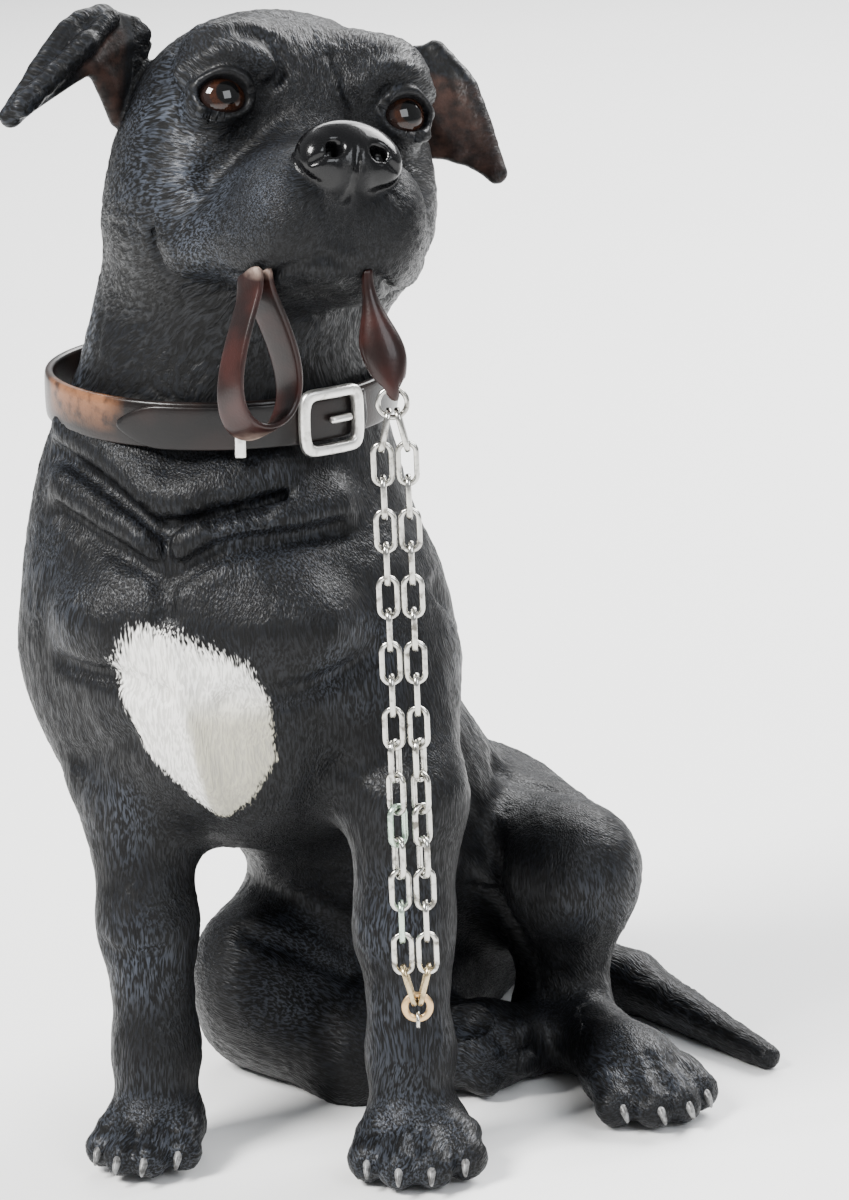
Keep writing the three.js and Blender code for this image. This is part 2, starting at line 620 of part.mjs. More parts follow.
// Eyes, set in round sockets
const headPoint = (x, y, z) => new THREE.Vector3(x, y, z).applyMatrix4(head.matrix);
const eyes = [-1, 1].map((side) => {
  const middle = headPoint((side * EYE_SPREAD) / 2, -EYE_FORWARD, EYE_RISE);
  const place = new THREE.Matrix4().makeTranslation(middle);
  const eye = new THREE.SphereGeometry(EYE_RADIUS, 14, 10);
  const socket = new THREE.SphereGeometry(EYE_RADIUS + CLEARANCE * 1.1, 14, 10);
  const opening = new THREE.SphereGeometry(1, 14, 10).scale(...EYE_OPENING.map((size) => size / 2))
    .rotateY(rad(side * EYE_SLANT)).translate((side * EYE_SPREAD) / 2, -EYE_FORWARD - EYE_RADIUS * 0.8, EYE_RISE);
  return { eye: moved(eye, place), socket: moved(socket, place).add(moved(opening, head.matrix)) };
});

// Collar: a band that follows the clay of the neck in its own tilted plane
const collarPlane = new THREE.Matrix4().makeRotationFromEuler(
  new THREE.Euler(rad(COLLAR_FRONT_TILT), rad(COLLAR_SIDE_TILT), 0));
collarPlane.setPosition(...collarMiddle);
const collarPoint = (angle, radius, rise) =>
  new THREE.Vector3(Math.cos(angle) * radius, Math.sin(angle) * radius, rise).applyMatrix4(collarPlane);
const clayRadius = (angle, rise) => {
  let inside = 10;
  let outside = 90;
  while (outside - inside > 0.01) {
    const middle = (inside + outside) / 2;
    const { x, y, z } = collarPoint(angle, middle, rise);
    if (field(x, y, z) < 0) inside = middle;
    else outside = middle;
  }
  return inside;
};
const neckRadius = (angle) =>
  Math.max(...[-COLLAR_STRAP_WIDTH / 2, 0, COLLAR_STRAP_WIDTH / 2].map((rise) => clayRadius(angle, rise)));
const neckRadii = Array.from({ length: COLLAR_STATIONS }, (_, i) =>
  neckRadius((i / COLLAR_STATIONS) * 2 * Math.PI));
const ringRadius = (angle) => {
  const turns = ((angle / (2 * Math.PI)) % 1) * COLLAR_STATIONS;
  const i = Math.floor(turns);
  const t = turns - i;
  return neckRadii[i % COLLAR_STATIONS] * (1 - t) + neckRadii[(i + 1) % COLLAR_STATIONS] * t;
};
const collarStation = (angle, offset) => {
  const step = 0.01;
  const here = collarPoint(angle, ringRadius(angle) + offset, 0);
  const ahead = collarPoint(angle + step, ringRadius(angle + step) + offset, 0);
  const up = new THREE.Vector3(0, 0, 1).transformDirection(collarPlane);
  const along = ahead.sub(here).normalize();
  return { middle: here, across: new THREE.Vector3().crossVectors(along, up).normalize(), up };
};
const collarRun = (from, to, steps, offset) =>
  Array.from({ length: steps + 1 }, (_, i) => collarStation(from + ((to - from) * i) / steps, offset));
const bandMiddle = COLLAR_STAND_OFF + COLLAR_STRAP_THICKNESS / 2;
const band = loft(
  Array.from({ length: COLLAR_STATIONS }, (_, i) => collarStation((i / COLLAR_STATIONS) * 2 * Math.PI, bandMiddle)),
  () => chamfered(COLLAR_STRAP_THICKNESS, COLLAR_STRAP_WIDTH, 0.5), true);

// The strap's free end lies over the band, from the buckle round to its point
const tongueMiddle = bandMiddle + COLLAR_STRAP_THICKNESS / 2 + CLEARANCE + TONGUE_THICKNESS / 2;
const tongueStart = rad(TONGUE_TIP_ANGLE);
const buckleTurn = rad(BUCKLE_ANGLE);
const buckleArc = (length, offset) => length / (ringRadius(buckleTurn) + offset);
const tongueEnd = buckleTurn + buckleArc(BUCKLE_WIDTH * 0.7, tongueMiddle);
const tongue = loft(collarRun(tongueStart, tongueEnd, TONGUE_STEPS, tongueMiddle), (i) => {
  const pointed = [0.16, 0.72, 1][i] ?? 1;
  return chamfered(TONGUE_THICKNESS, (COLLAR_STRAP_WIDTH - 0.8) * pointed, 0.3);
}, false);

const group = new THREE.Group();
const put = (name, solid, material) => {
  const mesh = new THREE.Mesh(geometryOf(solid), material);
  mesh.name = name;
  group.add(mesh);
};
const paint = (color, roughness, metalness) => new THREE.MeshStandardMaterial({ color, roughness, metalness });
const blackCoat = paint("#17181c", 0.55, 0);
const eyeGlass = paint("#1b0f0a", 0.08, 0);
const collarLeather = paint("#2a1610", 0.3, 0);
const leadLeather = paint("#3a1a12", 0.25, 0);
const nickel = paint("#c9c8c2", 0.25, 1);
const silver = paint("#bdbab0", 0.4, 0.9);
const brass = paint("#a8845a", 0.4, 1);

// Buckle frame, prong and keeper lie on the tongue and curve with it
const overTongue = tongueMiddle + TONGUE_THICKNESS / 2 + CLEARANCE;
const buckleMiddle = (() => {
  const edges = [-1, 1].map((side) => clayRadius(buckleTurn, (side * BUCKLE_HEIGHT) / 2) - ringRadius(buckleTurn));
  return Math.max(overTongue, ...edges.map((edge) => edge + COLLAR_STAND_OFF)) + BUCKLE_WIRE / 2;
})();
const buckleFrame = (() => {
  const w = (BUCKLE_WIDTH - BUCKLE_WIRE) / 2;
  const h = (BUCKLE_HEIGHT - BUCKLE_WIRE) / 2;
  const side = [-w, -w / 2, 0, w / 2, w];
  const loop = [...side.map((a) => [a, -h]), [w, 0], ...side.toReversed().map((a) => [a, h]), [-w, 0]];
  return loft(loop.map(([a, b]) => {
    const { middle, across, up } = collarStation(buckleTurn + buckleArc(a, buckleMiddle), buckleMiddle);
    const along = new THREE.Vector3().crossVectors(up, across).normalize();
    const atCorner = Math.abs(a) === w && b !== 0;
    const outward = new THREE.Vector3();
    if (Math.abs(a) === w) outward.addScaledVector(along, Math.sign(a));
    outward.addScaledVector(up, Math.sign(b)).normalize().multiplyScalar(atCorner ? Math.SQRT2 : 1);
    return { middle: middle.addScaledVector(up, b), across: outward, up: across };
  }), () => chamfered(BUCKLE_WIRE, BUCKLE_WIRE, 0.5), true);
})();

// The prong lies from the frame's far bar to its hole in the strap, the keeper wraps the strap's two layers
const prong = (() => {
  const reach = BUCKLE_WIDTH * 0.36;
  const offset = overTongue + PRONG_WIRE / 2;
  const from = buckleTurn + buckleArc(BUCKLE_WIDTH / 2 - BUCKLE_WIRE - CLEARANCE, offset);
  const to = from - buckleArc(reach, offset);
  return loft(collarRun(from, to, 3, offset), () => round(PRONG_WIRE, PRONG_WIRE, 8), false);
})();
const keeper = (() => {
  const { middle, across, up } = collarStation(rad(KEEPER_ANGLE), overTongue + KEEPER_THICKNESS / 2);
  const along = new THREE.Vector3().crossVectors(up, across).normalize();
  const h = COLLAR_STRAP_WIDTH / 2 + CLEARANCE + KEEPER_THICKNESS / 2;
  const stations = [-1, -0.6, -0.2, 0.2, 0.6, 1].map((t) => ({
    middle: middle.clone().addScaledVector(up, t * h),
    across,
    up: along,
  }));
  const arm = TONGUE_THICKNESS + COLLAR_STRAP_THICKNESS;
  const hook = (end) => loft([0, 1].map((t) => ({
    middle: middle.clone().addScaledVector(up, end * h).addScaledVector(across, -t * arm + KEEPER_THICKNESS / 2),
    across: up,
    up: along,
  })), () => chamfered(KEEPER_THICKNESS, KEEPER_WIDTH, 0.2), false);
  return loft(stations, () => chamfered(KEEPER_THICKNESS, KEEPER_WIDTH, 0.2), false).add(hook(1)).add(hook(-1));
})();

// Lead, folded across the mouth: its handle loop hangs on the dog's right, the chain's tab on its left
const lipRight = headPoint(-15.6, -lipFront + 14, -JAW_DROP - 1);
const lipLeft = headPoint(7.2, -lipFront + 8, -JAW_DROP - 0.5);
const loopAcross = new THREE.Vector3(-0.77, 0.48, -0.42).normalize(); // the strap's width runs back along the jaw
const loopSide = new THREE.Vector3(0.53, 0.85, 0).normalize();
const loopSolid = (extra) => {
  const steps = 22;
  const start = 0.3;
  const grip = LEAD_STRAP_THICKNESS / 2 + CLEARANCE;
  const shape = (t) => {
    const swell = Math.sin(t) * Math.sin(t / 2) ** 1.5;
    return [(LOOP_WIDTH / 2 / 0.77) * swell + grip * Math.cos(t / 2), (-LOOP_DROP * (1 - Math.cos(t))) / 2];
  };
  const at = (side, rise) => lipRight.clone().addScaledVector(loopSide, side).add(new THREE.Vector3(0, 0, rise));
  const run = [at(grip, SOCKET_DEPTH + extra)];
  for (let i = 0; i <= steps; i++) {
    run.push(at(...shape(start + ((2 * Math.PI - 2 * start) * i) / steps)));
  }
  run.push(at(-grip, SOCKET_DEPTH + extra));
  const stations = run.map((middle, i) => {
    const before = run[Math.max(0, i - 1)];
    const after = run[Math.min(run.length - 1, i + 1)];
    const along = after.clone().sub(before).normalize();
    return { middle, across: new THREE.Vector3().crossVectors(along, loopAcross).normalize(), up: loopAcross };
  });
  return loft(stations, () => chamfered(LEAD_STRAP_THICKNESS + 2 * extra, LEAD_STRAP_WIDTH + 2 * extra, 0.35), false);
};

const chainFrame = new THREE.Matrix4().makeRotationZ(rad(CHAIN_TURN));
// Chain axes: wide along the chain's flat, deep square to it
const wide = new THREE.Vector3(1, 0, 0).transformDirection(chainFrame);
const deep = new THREE.Vector3(0, 1, 0).transformDirection(chainFrame);
const down = new THREE.Vector3(0, 0, -1);
const boreDrop = TAB_DROP - TAB_BORE_RISE;
const tabPoint = (drop) => {
  const share = Math.max(0, drop) / boreDrop;
  return lipLeft.clone().addScaledVector(wide, TAB_LEAN * share).addScaledVector(deep, -TAB_FORWARD * share)
    .addScaledVector(down, drop);
};
// The chain's line: straight down through the middle of the tab's bore
const hang = (side, drop) => tabPoint(boreDrop).addScaledVector(wide, side).addScaledVector(down, drop - boreDrop);

// The tab is a drop of folded leather, narrow at the lip and fullest low down
const tabSolid = (extra) => {
  const stations = [[-SOCKET_DEPTH / TAB_DROP, 0, 0], ...TAB_SHAPE];
  return loft(stations.map(([share], i) => ({
    middle: tabPoint(TAB_DROP * share + (i === 0 ? -extra : 0)),
    across: wide,
    up: deep,
  })), (i) => {
    const width = TAB_NECK + (TAB_WIDTH - TAB_NECK) * stations[i][1] + 2 * extra;
    const depth = TAB_NECK + (TAB_THICKNESS - TAB_NECK) * stations[i][2] + 2 * extra;
    return round(width, depth, 16);
  }, false);
};

// A wire loop with straight sides and round ends, in the plane of two axes
const wireLink = (middle, lengthAxis, widthAxis, length, width, wire, sides, arcSteps) => {
  const radius = (width - wire) / 2;
  const straight = length / 2 - wire / 2 - radius;
  const normal = new THREE.Vector3().crossVectors(lengthAxis, widthAxis);
  const stations = [];
  for (const end of [1, -1]) {
    for (let i = 0; i <= arcSteps; i++) {
      const t = (i / arcSteps) * Math.PI;
      const out = new THREE.Vector3().addScaledVector(widthAxis, end * Math.cos(t))
        .addScaledVector(lengthAxis, end * Math.sin(t));
      stations.push({
        middle: middle.clone().addScaledVector(lengthAxis, end * straight).addScaledVector(out, radius),
        across: out,
        up: normal,
      });
    }
  }
  return loft(stations, () => round(wire, wire, sides), true);
};

// The ring through the tab's bore, and the doubled chain that hangs from the ring
const tabBore = moved(
  new THREE.CylinderGeometry(TAB_BORE / 2, TAB_BORE / 2, TAB_WIDTH * 2, 16).rotateZ(Math.PI / 2).applyMatrix4(chainFrame),
  new THREE.Matrix4().makeTranslation(hang(0, boreDrop)));
const ringDrop = boreDrop + (RING_DIAMETER - RING_WIRE) / 2;
const ring = wireLink(hang(0, ringDrop), down, wide, RING_DIAMETER, RING_DIAMETER, RING_WIRE, 8, 8);

const pitch = LINK_LENGTH - 2 * LINK_WIRE - CLEARANCE;
const strandSpacing = LINK_WIDTH + CLEARANCE;
const ringSpacing = LINK_WIRE + CLEARANCE + 0.5;
const firstPivot = ringDrop + RING_DIAMETER / 2 - RING_WIRE / 2 - 0.15;
const firstMiddle = firstPivot - RING_WIRE / 2 - CLEARANCE - LINK_WIRE + LINK_LENGTH / 2;
const washerSpacing = LINK_WIRE + CLEARANCE;
const levels = Array.from({ length: CHAIN_LEVELS }, (_, i) => {
  const top = i === 0 ? ringSpacing : strandSpacing;
  const bottom = i === CHAIN_LEVELS - 1 ? washerSpacing : strandSpacing;
  const twisted = THREE.MathUtils.clamp((i - TWIST_START) / (TWIST_END - TWIST_START), 0, 1);
  return { drop: firstMiddle + i * pitch, top, bottom, turn: rad((i % 2 === 1 ? 90 : 0) + CHAIN_TWIST * twisted) };
});
const links = levels.flatMap(({ drop, top, bottom, turn }, i) =>
  [["left", -1], ["right", 1]].map(([strand, side]) => {
    const lean = Math.atan2((side * (bottom - top)) / 2, pitch);
    const lengthAxis = new THREE.Vector3().addScaledVector(down, Math.cos(lean)).addScaledVector(wide, Math.sin(lean));
    const widthAxis = new THREE.Vector3().addScaledVector(deep, Math.cos(turn)).addScaledVector(wide, Math.sin(turn));
    const middle = hang((side * (top + bottom)) / 4, drop);
    return [`link_${strand}_${String(i + 1).padStart(2, "0")}`,
      wireLink(middle, lengthAxis, widthAxis, LINK_LENGTH, LINK_WIDTH, LINK_WIRE, 6, 4)];
  }));

// The flat washer that gathers both strands, and the small link left hanging in it
const lastPivot = levels[CHAIN_LEVELS - 1].drop + LINK_LENGTH / 2 - LINK_WIRE / 2;
const washerDrop = lastPivot + (WASHER_BORE - LINK_WIRE) / 2 - 2 * CLEARANCE;
const washerProfile = [[WASHER_BORE / 2, -WASHER_THICKNESS / 2], [WASHER_DIAMETER / 2, -WASHER_THICKNESS / 2],
  [WASHER_DIAMETER / 2, WASHER_THICKNESS / 2], [WASHER_BORE / 2, WASHER_THICKNESS / 2],
  [WASHER_BORE / 2, -WASHER_THICKNESS / 2]].map(([r, z]) => new THREE.Vector2(r, z));
const washer = moved(new THREE.LatheGeometry(washerProfile, 24).applyMatrix4(chainFrame),
  new THREE.Matrix4().makeTranslation(hang(0, washerDrop)));
const endLinkTop = washerDrop + (WASHER_BORE - END_LINK_WIRE) / 2 - CLEARANCE;
const endLink = wireLink(hang(0, endLinkTop + (END_LINK_LENGTH - END_LINK_WIRE) / 2), down, deep,
  END_LINK_LENGTH, END_LINK_WIDTH, END_LINK_WIRE, 6, 4);

put("dog_casting", casting.subtract(eyes[0].socket).subtract(eyes[1].socket)
  .subtract(loopSolid(CLEARANCE)).subtract(tabSolid(CLEARANCE)), blackCoat);
put("eye_right", eyes[0].eye, eyeGlass);
put("eye_left", eyes[1].eye, eyeGlass);
put("collar_band", band, collarLeather);
put("collar_tongue", tongue, collarLeather);
put("collar_keeper", keeper, silver);
put("buckle_frame", buckleFrame, silver);
put("buckle_prong", prong, silver);
put("lead_loop", loopSolid(0), leadLeather);
put("lead_tab", tabSolid(0).subtract(tabBore), leadLeather);
put("jump_ring", ring, nickel);
for (const [name, solid] of links) put(name, solid, nickel);
put("washer", washer, brass);
put("end_link", endLink, nickel);

// The frame's origin is the middle of the figure's outline on the floor
const outline = new THREE.Box3().setFromObject(group).getCenter(new THREE.Vector3());
group.position.set(-outline.x, -outline.y, 0);
group.updateMatrixWorld(true);

export default group;
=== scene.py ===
import itertools
import math

import bmesh
import bpy
import numpy as np
from mathutils import Euler, Matrix, Vector


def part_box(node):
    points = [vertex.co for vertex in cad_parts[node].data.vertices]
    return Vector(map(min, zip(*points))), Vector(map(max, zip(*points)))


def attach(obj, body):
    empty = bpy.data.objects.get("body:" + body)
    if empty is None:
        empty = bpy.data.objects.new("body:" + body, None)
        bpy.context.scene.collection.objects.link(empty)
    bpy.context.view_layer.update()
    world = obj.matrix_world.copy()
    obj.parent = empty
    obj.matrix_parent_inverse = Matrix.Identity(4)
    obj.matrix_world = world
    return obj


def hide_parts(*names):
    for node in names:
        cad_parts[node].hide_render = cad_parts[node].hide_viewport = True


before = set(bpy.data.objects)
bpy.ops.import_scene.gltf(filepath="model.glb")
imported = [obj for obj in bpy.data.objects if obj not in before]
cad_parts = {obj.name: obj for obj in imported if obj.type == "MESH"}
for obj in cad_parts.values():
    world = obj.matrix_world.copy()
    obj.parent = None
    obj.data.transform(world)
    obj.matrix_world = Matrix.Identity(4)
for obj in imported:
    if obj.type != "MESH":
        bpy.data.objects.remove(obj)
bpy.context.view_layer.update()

# Sizes, in millimetres
SHIFT = (-13.58, -7.11, 0)  # from the modelling frame to the part's own frame
BODY_GRAIN = 1.18
HEAD_GRAIN = 0.64
COLLAR_MIDDLE = (-20, -13, 170)
COLLAR_TILT = (3, 2, 0)
EYE_RADIUS = 6
EAR_SIDE, EAR_TOP = 32.5, 41  # an ear's root in the head's frame
WIRE = 1.2
LINK_LENGTH, LINK_WIDTH = 9.9, 5
STRAND_SPACING = LINK_WIDTH + 0.3
RING_SPACING, WASHER_SPACING = 2, 1.5  # between the strands at their two ends
CHAIN_TURN = 15
LEVELS = 18
TWIST_START, TWIST_LEVELS = 8, 7  # the chain turns a quarter about itself over these levels
GREEN_LEVELS, BRONZE_LEVEL = (12, 15), 17
STROKE_ACROSS, STROKE_ALONG = 0.46, 2.7  # half of one engraved hair stroke
STROKE_DEPTH = 0.00028
PRESS_ROUNDS = 3
WELL_IN_FRONT, STEPS_TO_SKIN = -95, 90


# Camera, floor and light
def camera():
    """Stands where the photographer stood: a little to the dog's left and above."""
    azimuth, elevation, roll = (math.radians(v) for v in (15, 13, 2.3))
    aim, distance = Vector((6.42, -7.11, 118)) / 1000, 0.95
    back = Vector((math.sin(azimuth) * math.cos(elevation), -math.cos(azimuth) * math.cos(elevation),
                   math.sin(elevation)))
    right = Vector((math.cos(azimuth), math.sin(azimuth), 0))
    up = back.cross(right)
    across = right * math.cos(roll) - up * math.sin(roll)
    upright = right * math.sin(roll) + up * math.cos(roll)
    view = bpy.data.cameras.new("view")
    view.sensor_width = 36
    view.lens = 124.56
    view.clip_start, view.clip_end = 0.05, 20
    stand = bpy.data.objects.new("view", view)
    turn = Matrix((across, upright, back)).transposed().to_4x4()
    stand.matrix_world = Matrix.Translation(aim + back * distance) @ turn
    bpy.context.collection.objects.link(stand)
    bpy.context.scene.camera = stand


def lamp(name, place, target, size, power, tint=(1, 1, 1)):
    """A soft square light aimed at a point."""
    light = bpy.data.lights.new(name, "AREA")
    light.size, light.energy, light.color = size, power, tint
    stand = bpy.data.objects.new(name, light)
    place, target = Vector(place), Vector(target)
    turn = (place - target).to_track_quat("Z", "Y").to_matrix().to_4x4()
    stand.matrix_world = Matrix.Translation(place) @ turn
    bpy.context.collection.objects.link(stand)


# Materials
class Wire:
    """A value in a material. Sums and products of it add their Math nodes."""

    def __init__(self, finish, socket):
        self.finish, self.socket = finish, socket

    def math(self, operation, *values):
        return self.finish.node("ShaderNodeMath", {"operation": operation}, dict(enumerate(values)))

    def __add__(self, other):
        return self.math("ADD", self, other)

    def __sub__(self, other):
        return self.math("SUBTRACT", self, other)

    def __rsub__(self, other):
        return self.math("SUBTRACT", other, self)

    def __mul__(self, other):
        return self.math("MULTIPLY", self, other)

    __radd__, __rmul__ = __add__, __mul__

    def step(self, low, high):
        """0 below low, 1 above high, and a smooth rise between them."""
        return self.finish.node("ShaderNodeMapRange", {"interpolation_type": "SMOOTHSTEP"},
                                {"Value": self, "From Min": low, "From Max": high})


class Finish:
    """A material for one of the dog's surfaces."""

    def __init__(self, name):
        self.material = bpy.data.materials.new(name)
        self.material.use_nodes = True
        self.tree = self.material.node_tree
        self.tree.nodes.clear()
        self.place = self.node("ShaderNodeTexCoord", output="Object")

    def node(self, kind, settings=None, sockets=None, output=0):
        node = self.tree.nodes.new(kind)
        for name, value in (settings or {}).items():
            setattr(node, name, value)
        for name, value in (sockets or {}).items():
            if isinstance(value, Wire):
                self.tree.links.new(value.socket, node.inputs[name])
            else:
                node.inputs[name].default_value = value
        return Wire(self, node.outputs[output])

    def mark(self, name, output="Fac"):
        """A number or place painted on the piece's points."""
        return self.node("ShaderNodeAttribute", {"attribute_name": name}, output=output)

    def mix(self, share, first, second):
        first, second = ((*c, 1) if isinstance(c, tuple) else c for c in (first, second))
        return self.node("ShaderNodeMix", {"data_type": "RGBA"}, {0: share, 6: first, 7: second}, output=2)

    def noise(self, scale, detail=2.0, roughness=0.5, stretch=(1, 1, 1), turn=(0, 0, 0)):
        """Noise with about one blotch in each 1/scale metres, drawn out along an axis by a stretch."""
        place = self.node("ShaderNodeMapping", {"vector_type": "TEXTURE"},
                          {"Vector": self.place, "Rotation": tuple(math.radians(v) for v in turn),
                           "Scale": tuple(s / scale for s in stretch)})
        return self.node("ShaderNodeTexNoise", None, {"Vector": place, "Scale": 1.0, "Detail": detail,
                                                      "Roughness": roughness})

    def bump(self, height, distance):
        return self.node("ShaderNodeBump", None, {"Height": height, "Distance": distance})

    def surface(self, **values):
        """Ends the material with its shader; a socket's name has spaces where the word here has lines."""
        shader = self.node("ShaderNodeBsdfPrincipled", None,
                           {name.replace("_", " "): (*v, 1) if isinstance(v, tuple) and len(v) == 3 else v
                            for name, v in values.items()})
        out = self.tree.nodes.new("ShaderNodeOutputMaterial")
        self.tree.links.new(shader.socket, out.inputs["Surface"])
        return self.material


def coat_finish():
    """Cast resin: near-black satin, ridges drybrushed blue-grey with a painted highlight, a white chest
    patch with painted shade, a glossy nose.
    """
    f = Finish("coat")
    hair = {"Scale": 1.0, "Detail": 1.4, "Roughness": 0.45, "Distortion": 0.35}
    main, second = (f.node("ShaderNodeTexNoise", None, {"Vector": f.mark(lay, "Vector"), **hair})
                    for lay in ("lay_main", "lay_second"))
    share = f.mark("second")
    strokes = main * (1 - share) + second * share
    ridge = strokes.step(0.4, 0.6)
    nose, inner, bare = f.mark("nose"), f.mark("inner_ear"), f.mark("bare")
    cloud = f.noise(60, 2.0, 0.6).step(0.34, 0.68)
    # Blue-grey on the ridges: drybrushed paint, with a painted highlight mixed in where the light falls
    drybrush_and_highlight = strokes.step(0.42, 0.66) * f.mark("drybrush_and_highlight_amount") * (0.4 + 0.6 * cloud)
    # Painted shade: the black is darker in the grooves between the strokes than on their ridges
    black = f.mix(ridge, (0.0008, 0.0008, 0.0009), (0.0034, 0.0035, 0.004))
    colour = f.mix(drybrush_and_highlight, black, (0.044, 0.051, 0.066))
    fringe = (f.mark("white") + (strokes - 0.5) * 0.9).step(0.36, 0.64)
    # The white patch with painted shade: cream on its side toward the dog's left of the ridge and below the
    # crease, greyer in the grooves between strokes
    patch_with_painted_shade = f.mix(f.mark("shade"), (0.76, 0.75, 0.72), (0.34, 0.32, 0.24))
    patch_with_painted_shade = f.mix(ridge, f.mix(0.5, patch_with_painted_shade, (0.25, 0.24, 0.22)), patch_with_painted_shade)
    colour = f.mix(fringe, colour, patch_with_painted_shade)
    skin = f.mix(f.noise(300, 3.0, 0.6).step(0.3, 0.72), (0.006, 0.0035, 0.0028), (0.032, 0.016, 0.012))
    colour = f.mix(inner, colour, skin)
    colour = f.mix(nose, colour, (0.0022, 0.0022, 0.0025))
    pores = f.noise(1 / 0.0006, 1.0)
    relief = strokes * (1 - bare) * (1 - nose) + pores * (nose * 0.1 + inner * 0.3)
    rough = 0.38 + (1 - ridge) * 0.18 + fringe * 0.22 - nose * 0.27 + inner * 0.15
    return f.surface(Base_Color=colour, Roughness=rough, Specular_IOR_Level=0.17, Coat_Weight=nose * 0.25,
                     Coat_Roughness=0.06, Normal=f.bump(relief, STROKE_DEPTH))


def leather_finish(name, dark, light, wear_and_rim_highlight, roughness):
    """Polished strap leather, darker in its grain, lighter where it is worn, and on the lead loop's rims
    also a painted highlight.
    """
    f = Finish(name)
    grain = f.noise(1 / 0.0006, 3.0, 0.6)
    cloud = f.noise(110, 2.0).step(0.35, 0.7)
    wear_and_rim_highlight_share = f.mark("wear_and_rim_highlight") * f.noise(260, 3.0, 0.6).step(0.25, 0.6)
    colour = f.mix(wear_and_rim_highlight_share, f.mix(cloud, dark, light), wear_and_rim_highlight)
    return f.surface(Base_Color=colour, Roughness=roughness + grain * 0.12, Specular_IOR_Level=0.2,
                     Coat_Weight=0.16, Coat_Roughness=0.12, Normal=f.bump(grain, 0.00005))


def metal_finish(name, bright, dull, roughness, spots=0.3):
    """Plated wire with faint scratches and dulled patches."""
    f = Finish(name)
    patch = f.noise(420, 3.0, 0.6).step(0.48, 0.72)
    scratch = f.noise(2600, 2.0, 0.5, (1, 1, 7), (20, 0, 30))
    return f.surface(Base_Color=f.mix(patch * spots, bright, dull), Metallic=1.0,
                     Roughness=roughness + patch * 0.15 + scratch * 0.08, Normal=f.bump(scratch, 0.00002))


def eye_finish():
    """A dark brown iris round a black pupil, under a clear glaze."""
    f = Finish("eye")
    away = f.mark("from_pupil")
    iris = f.mix(f.noise(1400, 3.0), (0.004, 0.002, 0.0014), (0.034, 0.012, 0.006))
    colour = f.mix(away.step(2.5, 2.9), (0.002, 0.002, 0.002), iris)
    colour = f.mix(away.step(3.9, 4.5), colour, (0.012, 0.007, 0.006))
    return f.surface(Base_Color=colour, Roughness=0.04, Specular_IOR_Level=0.4)


def claw_finish():
    """Claws: dark grey with pale streaks."""
    f = Finish("claw")
    streak = f.noise(900, 2.0, 0.5, (1, 3, 1)).step(0.3, 0.7)
    colour = f.mix(streak, (0.03, 0.029, 0.028), (0.2, 0.2, 0.2))
    return f.surface(Base_Color=colour, Roughness=0.34, Normal=f.bump(streak, 0.00003))


def floor_finish():
    f = Finish("floor")
    return f.surface(Base_Color=f.mix(f.noise(3, 2.0), (0.86, 0.86, 0.86), (0.9, 0.9, 0.89)), Roughness=0.7)


# Clay: rounded dabs that flow into each other
def smooth_min(a, b, blend):
    h = np.maximum(blend - np.abs(a - b), 0) / blend
    return np.minimum(a, b) - h * h * blend / 4


def turned(turn, order="ZYX"):
    return np.array(Euler([math.radians(v) for v in turn], order).to_matrix())


def smooth_step(value, low, high):
    t = np.clip((value - low) / (high - low), 0, 1)
    return t * t * (3 - 2 * t)


class Ball:
    """A ball stretched to three radii."""

    def __init__(self, middle, radii, turn=(0, 0, 0)):
        self.middle, self.radii, self.axes = np.array(middle, float), np.array(radii, float), turned(turn)
        self.extent = [(self.middle, self.radii.max())]

    def distance(self, points):
        q = (points - self.middle) @ self.axes / self.radii
        k0 = np.sqrt((q * q).sum(1))
        q = q / self.radii
        return k0 * (k0 - 1) / np.maximum(np.sqrt((q * q).sum(1)), 1e-6)

    def shape(self, mesh, place):
        stretch = Matrix(self.axes).to_4x4() @ Matrix.Diagonal((*self.radii, 1))
        bmesh.ops.create_icosphere(mesh, subdivisions=3, radius=1,
                                   matrix=place @ Matrix.Translation(self.middle) @ stretch)


class Limb:
    """A round limb that tapers from one point to another."""

    def __init__(self, start, end, first, last):
        self.start, self.end = np.array(start, float), np.array(end, float)
        self.first, self.last = first, last
        self.extent = [(self.start, first), (self.end, last)]

    def distance(self, points):
        along = self.end - self.start
        p = points - self.start
        t = np.clip(p @ along / (along @ along), 0, 1)
        p = p - t[:, None] * along
        return np.sqrt((p * p).sum(1)) - (self.first + (self.last - self.first) * t)

    def shape(self, mesh, place):
        for point, radius in self.extent:
            bmesh.ops.create_icosphere(mesh, subdivisions=3, radius=radius,
                                       matrix=place @ Matrix.Translation(point))
        along = Vector(self.end - self.start)
        turn = along.to_track_quat("Z", "Y").to_matrix().to_4x4()
        tube = Matrix.Translation((self.start + self.end) / 2) @ turn
        bmesh.ops.create_cone(mesh, cap_ends=True, segments=24, radius1=self.first, radius2=self.last,
                              depth=along.length, matrix=place @ tube)


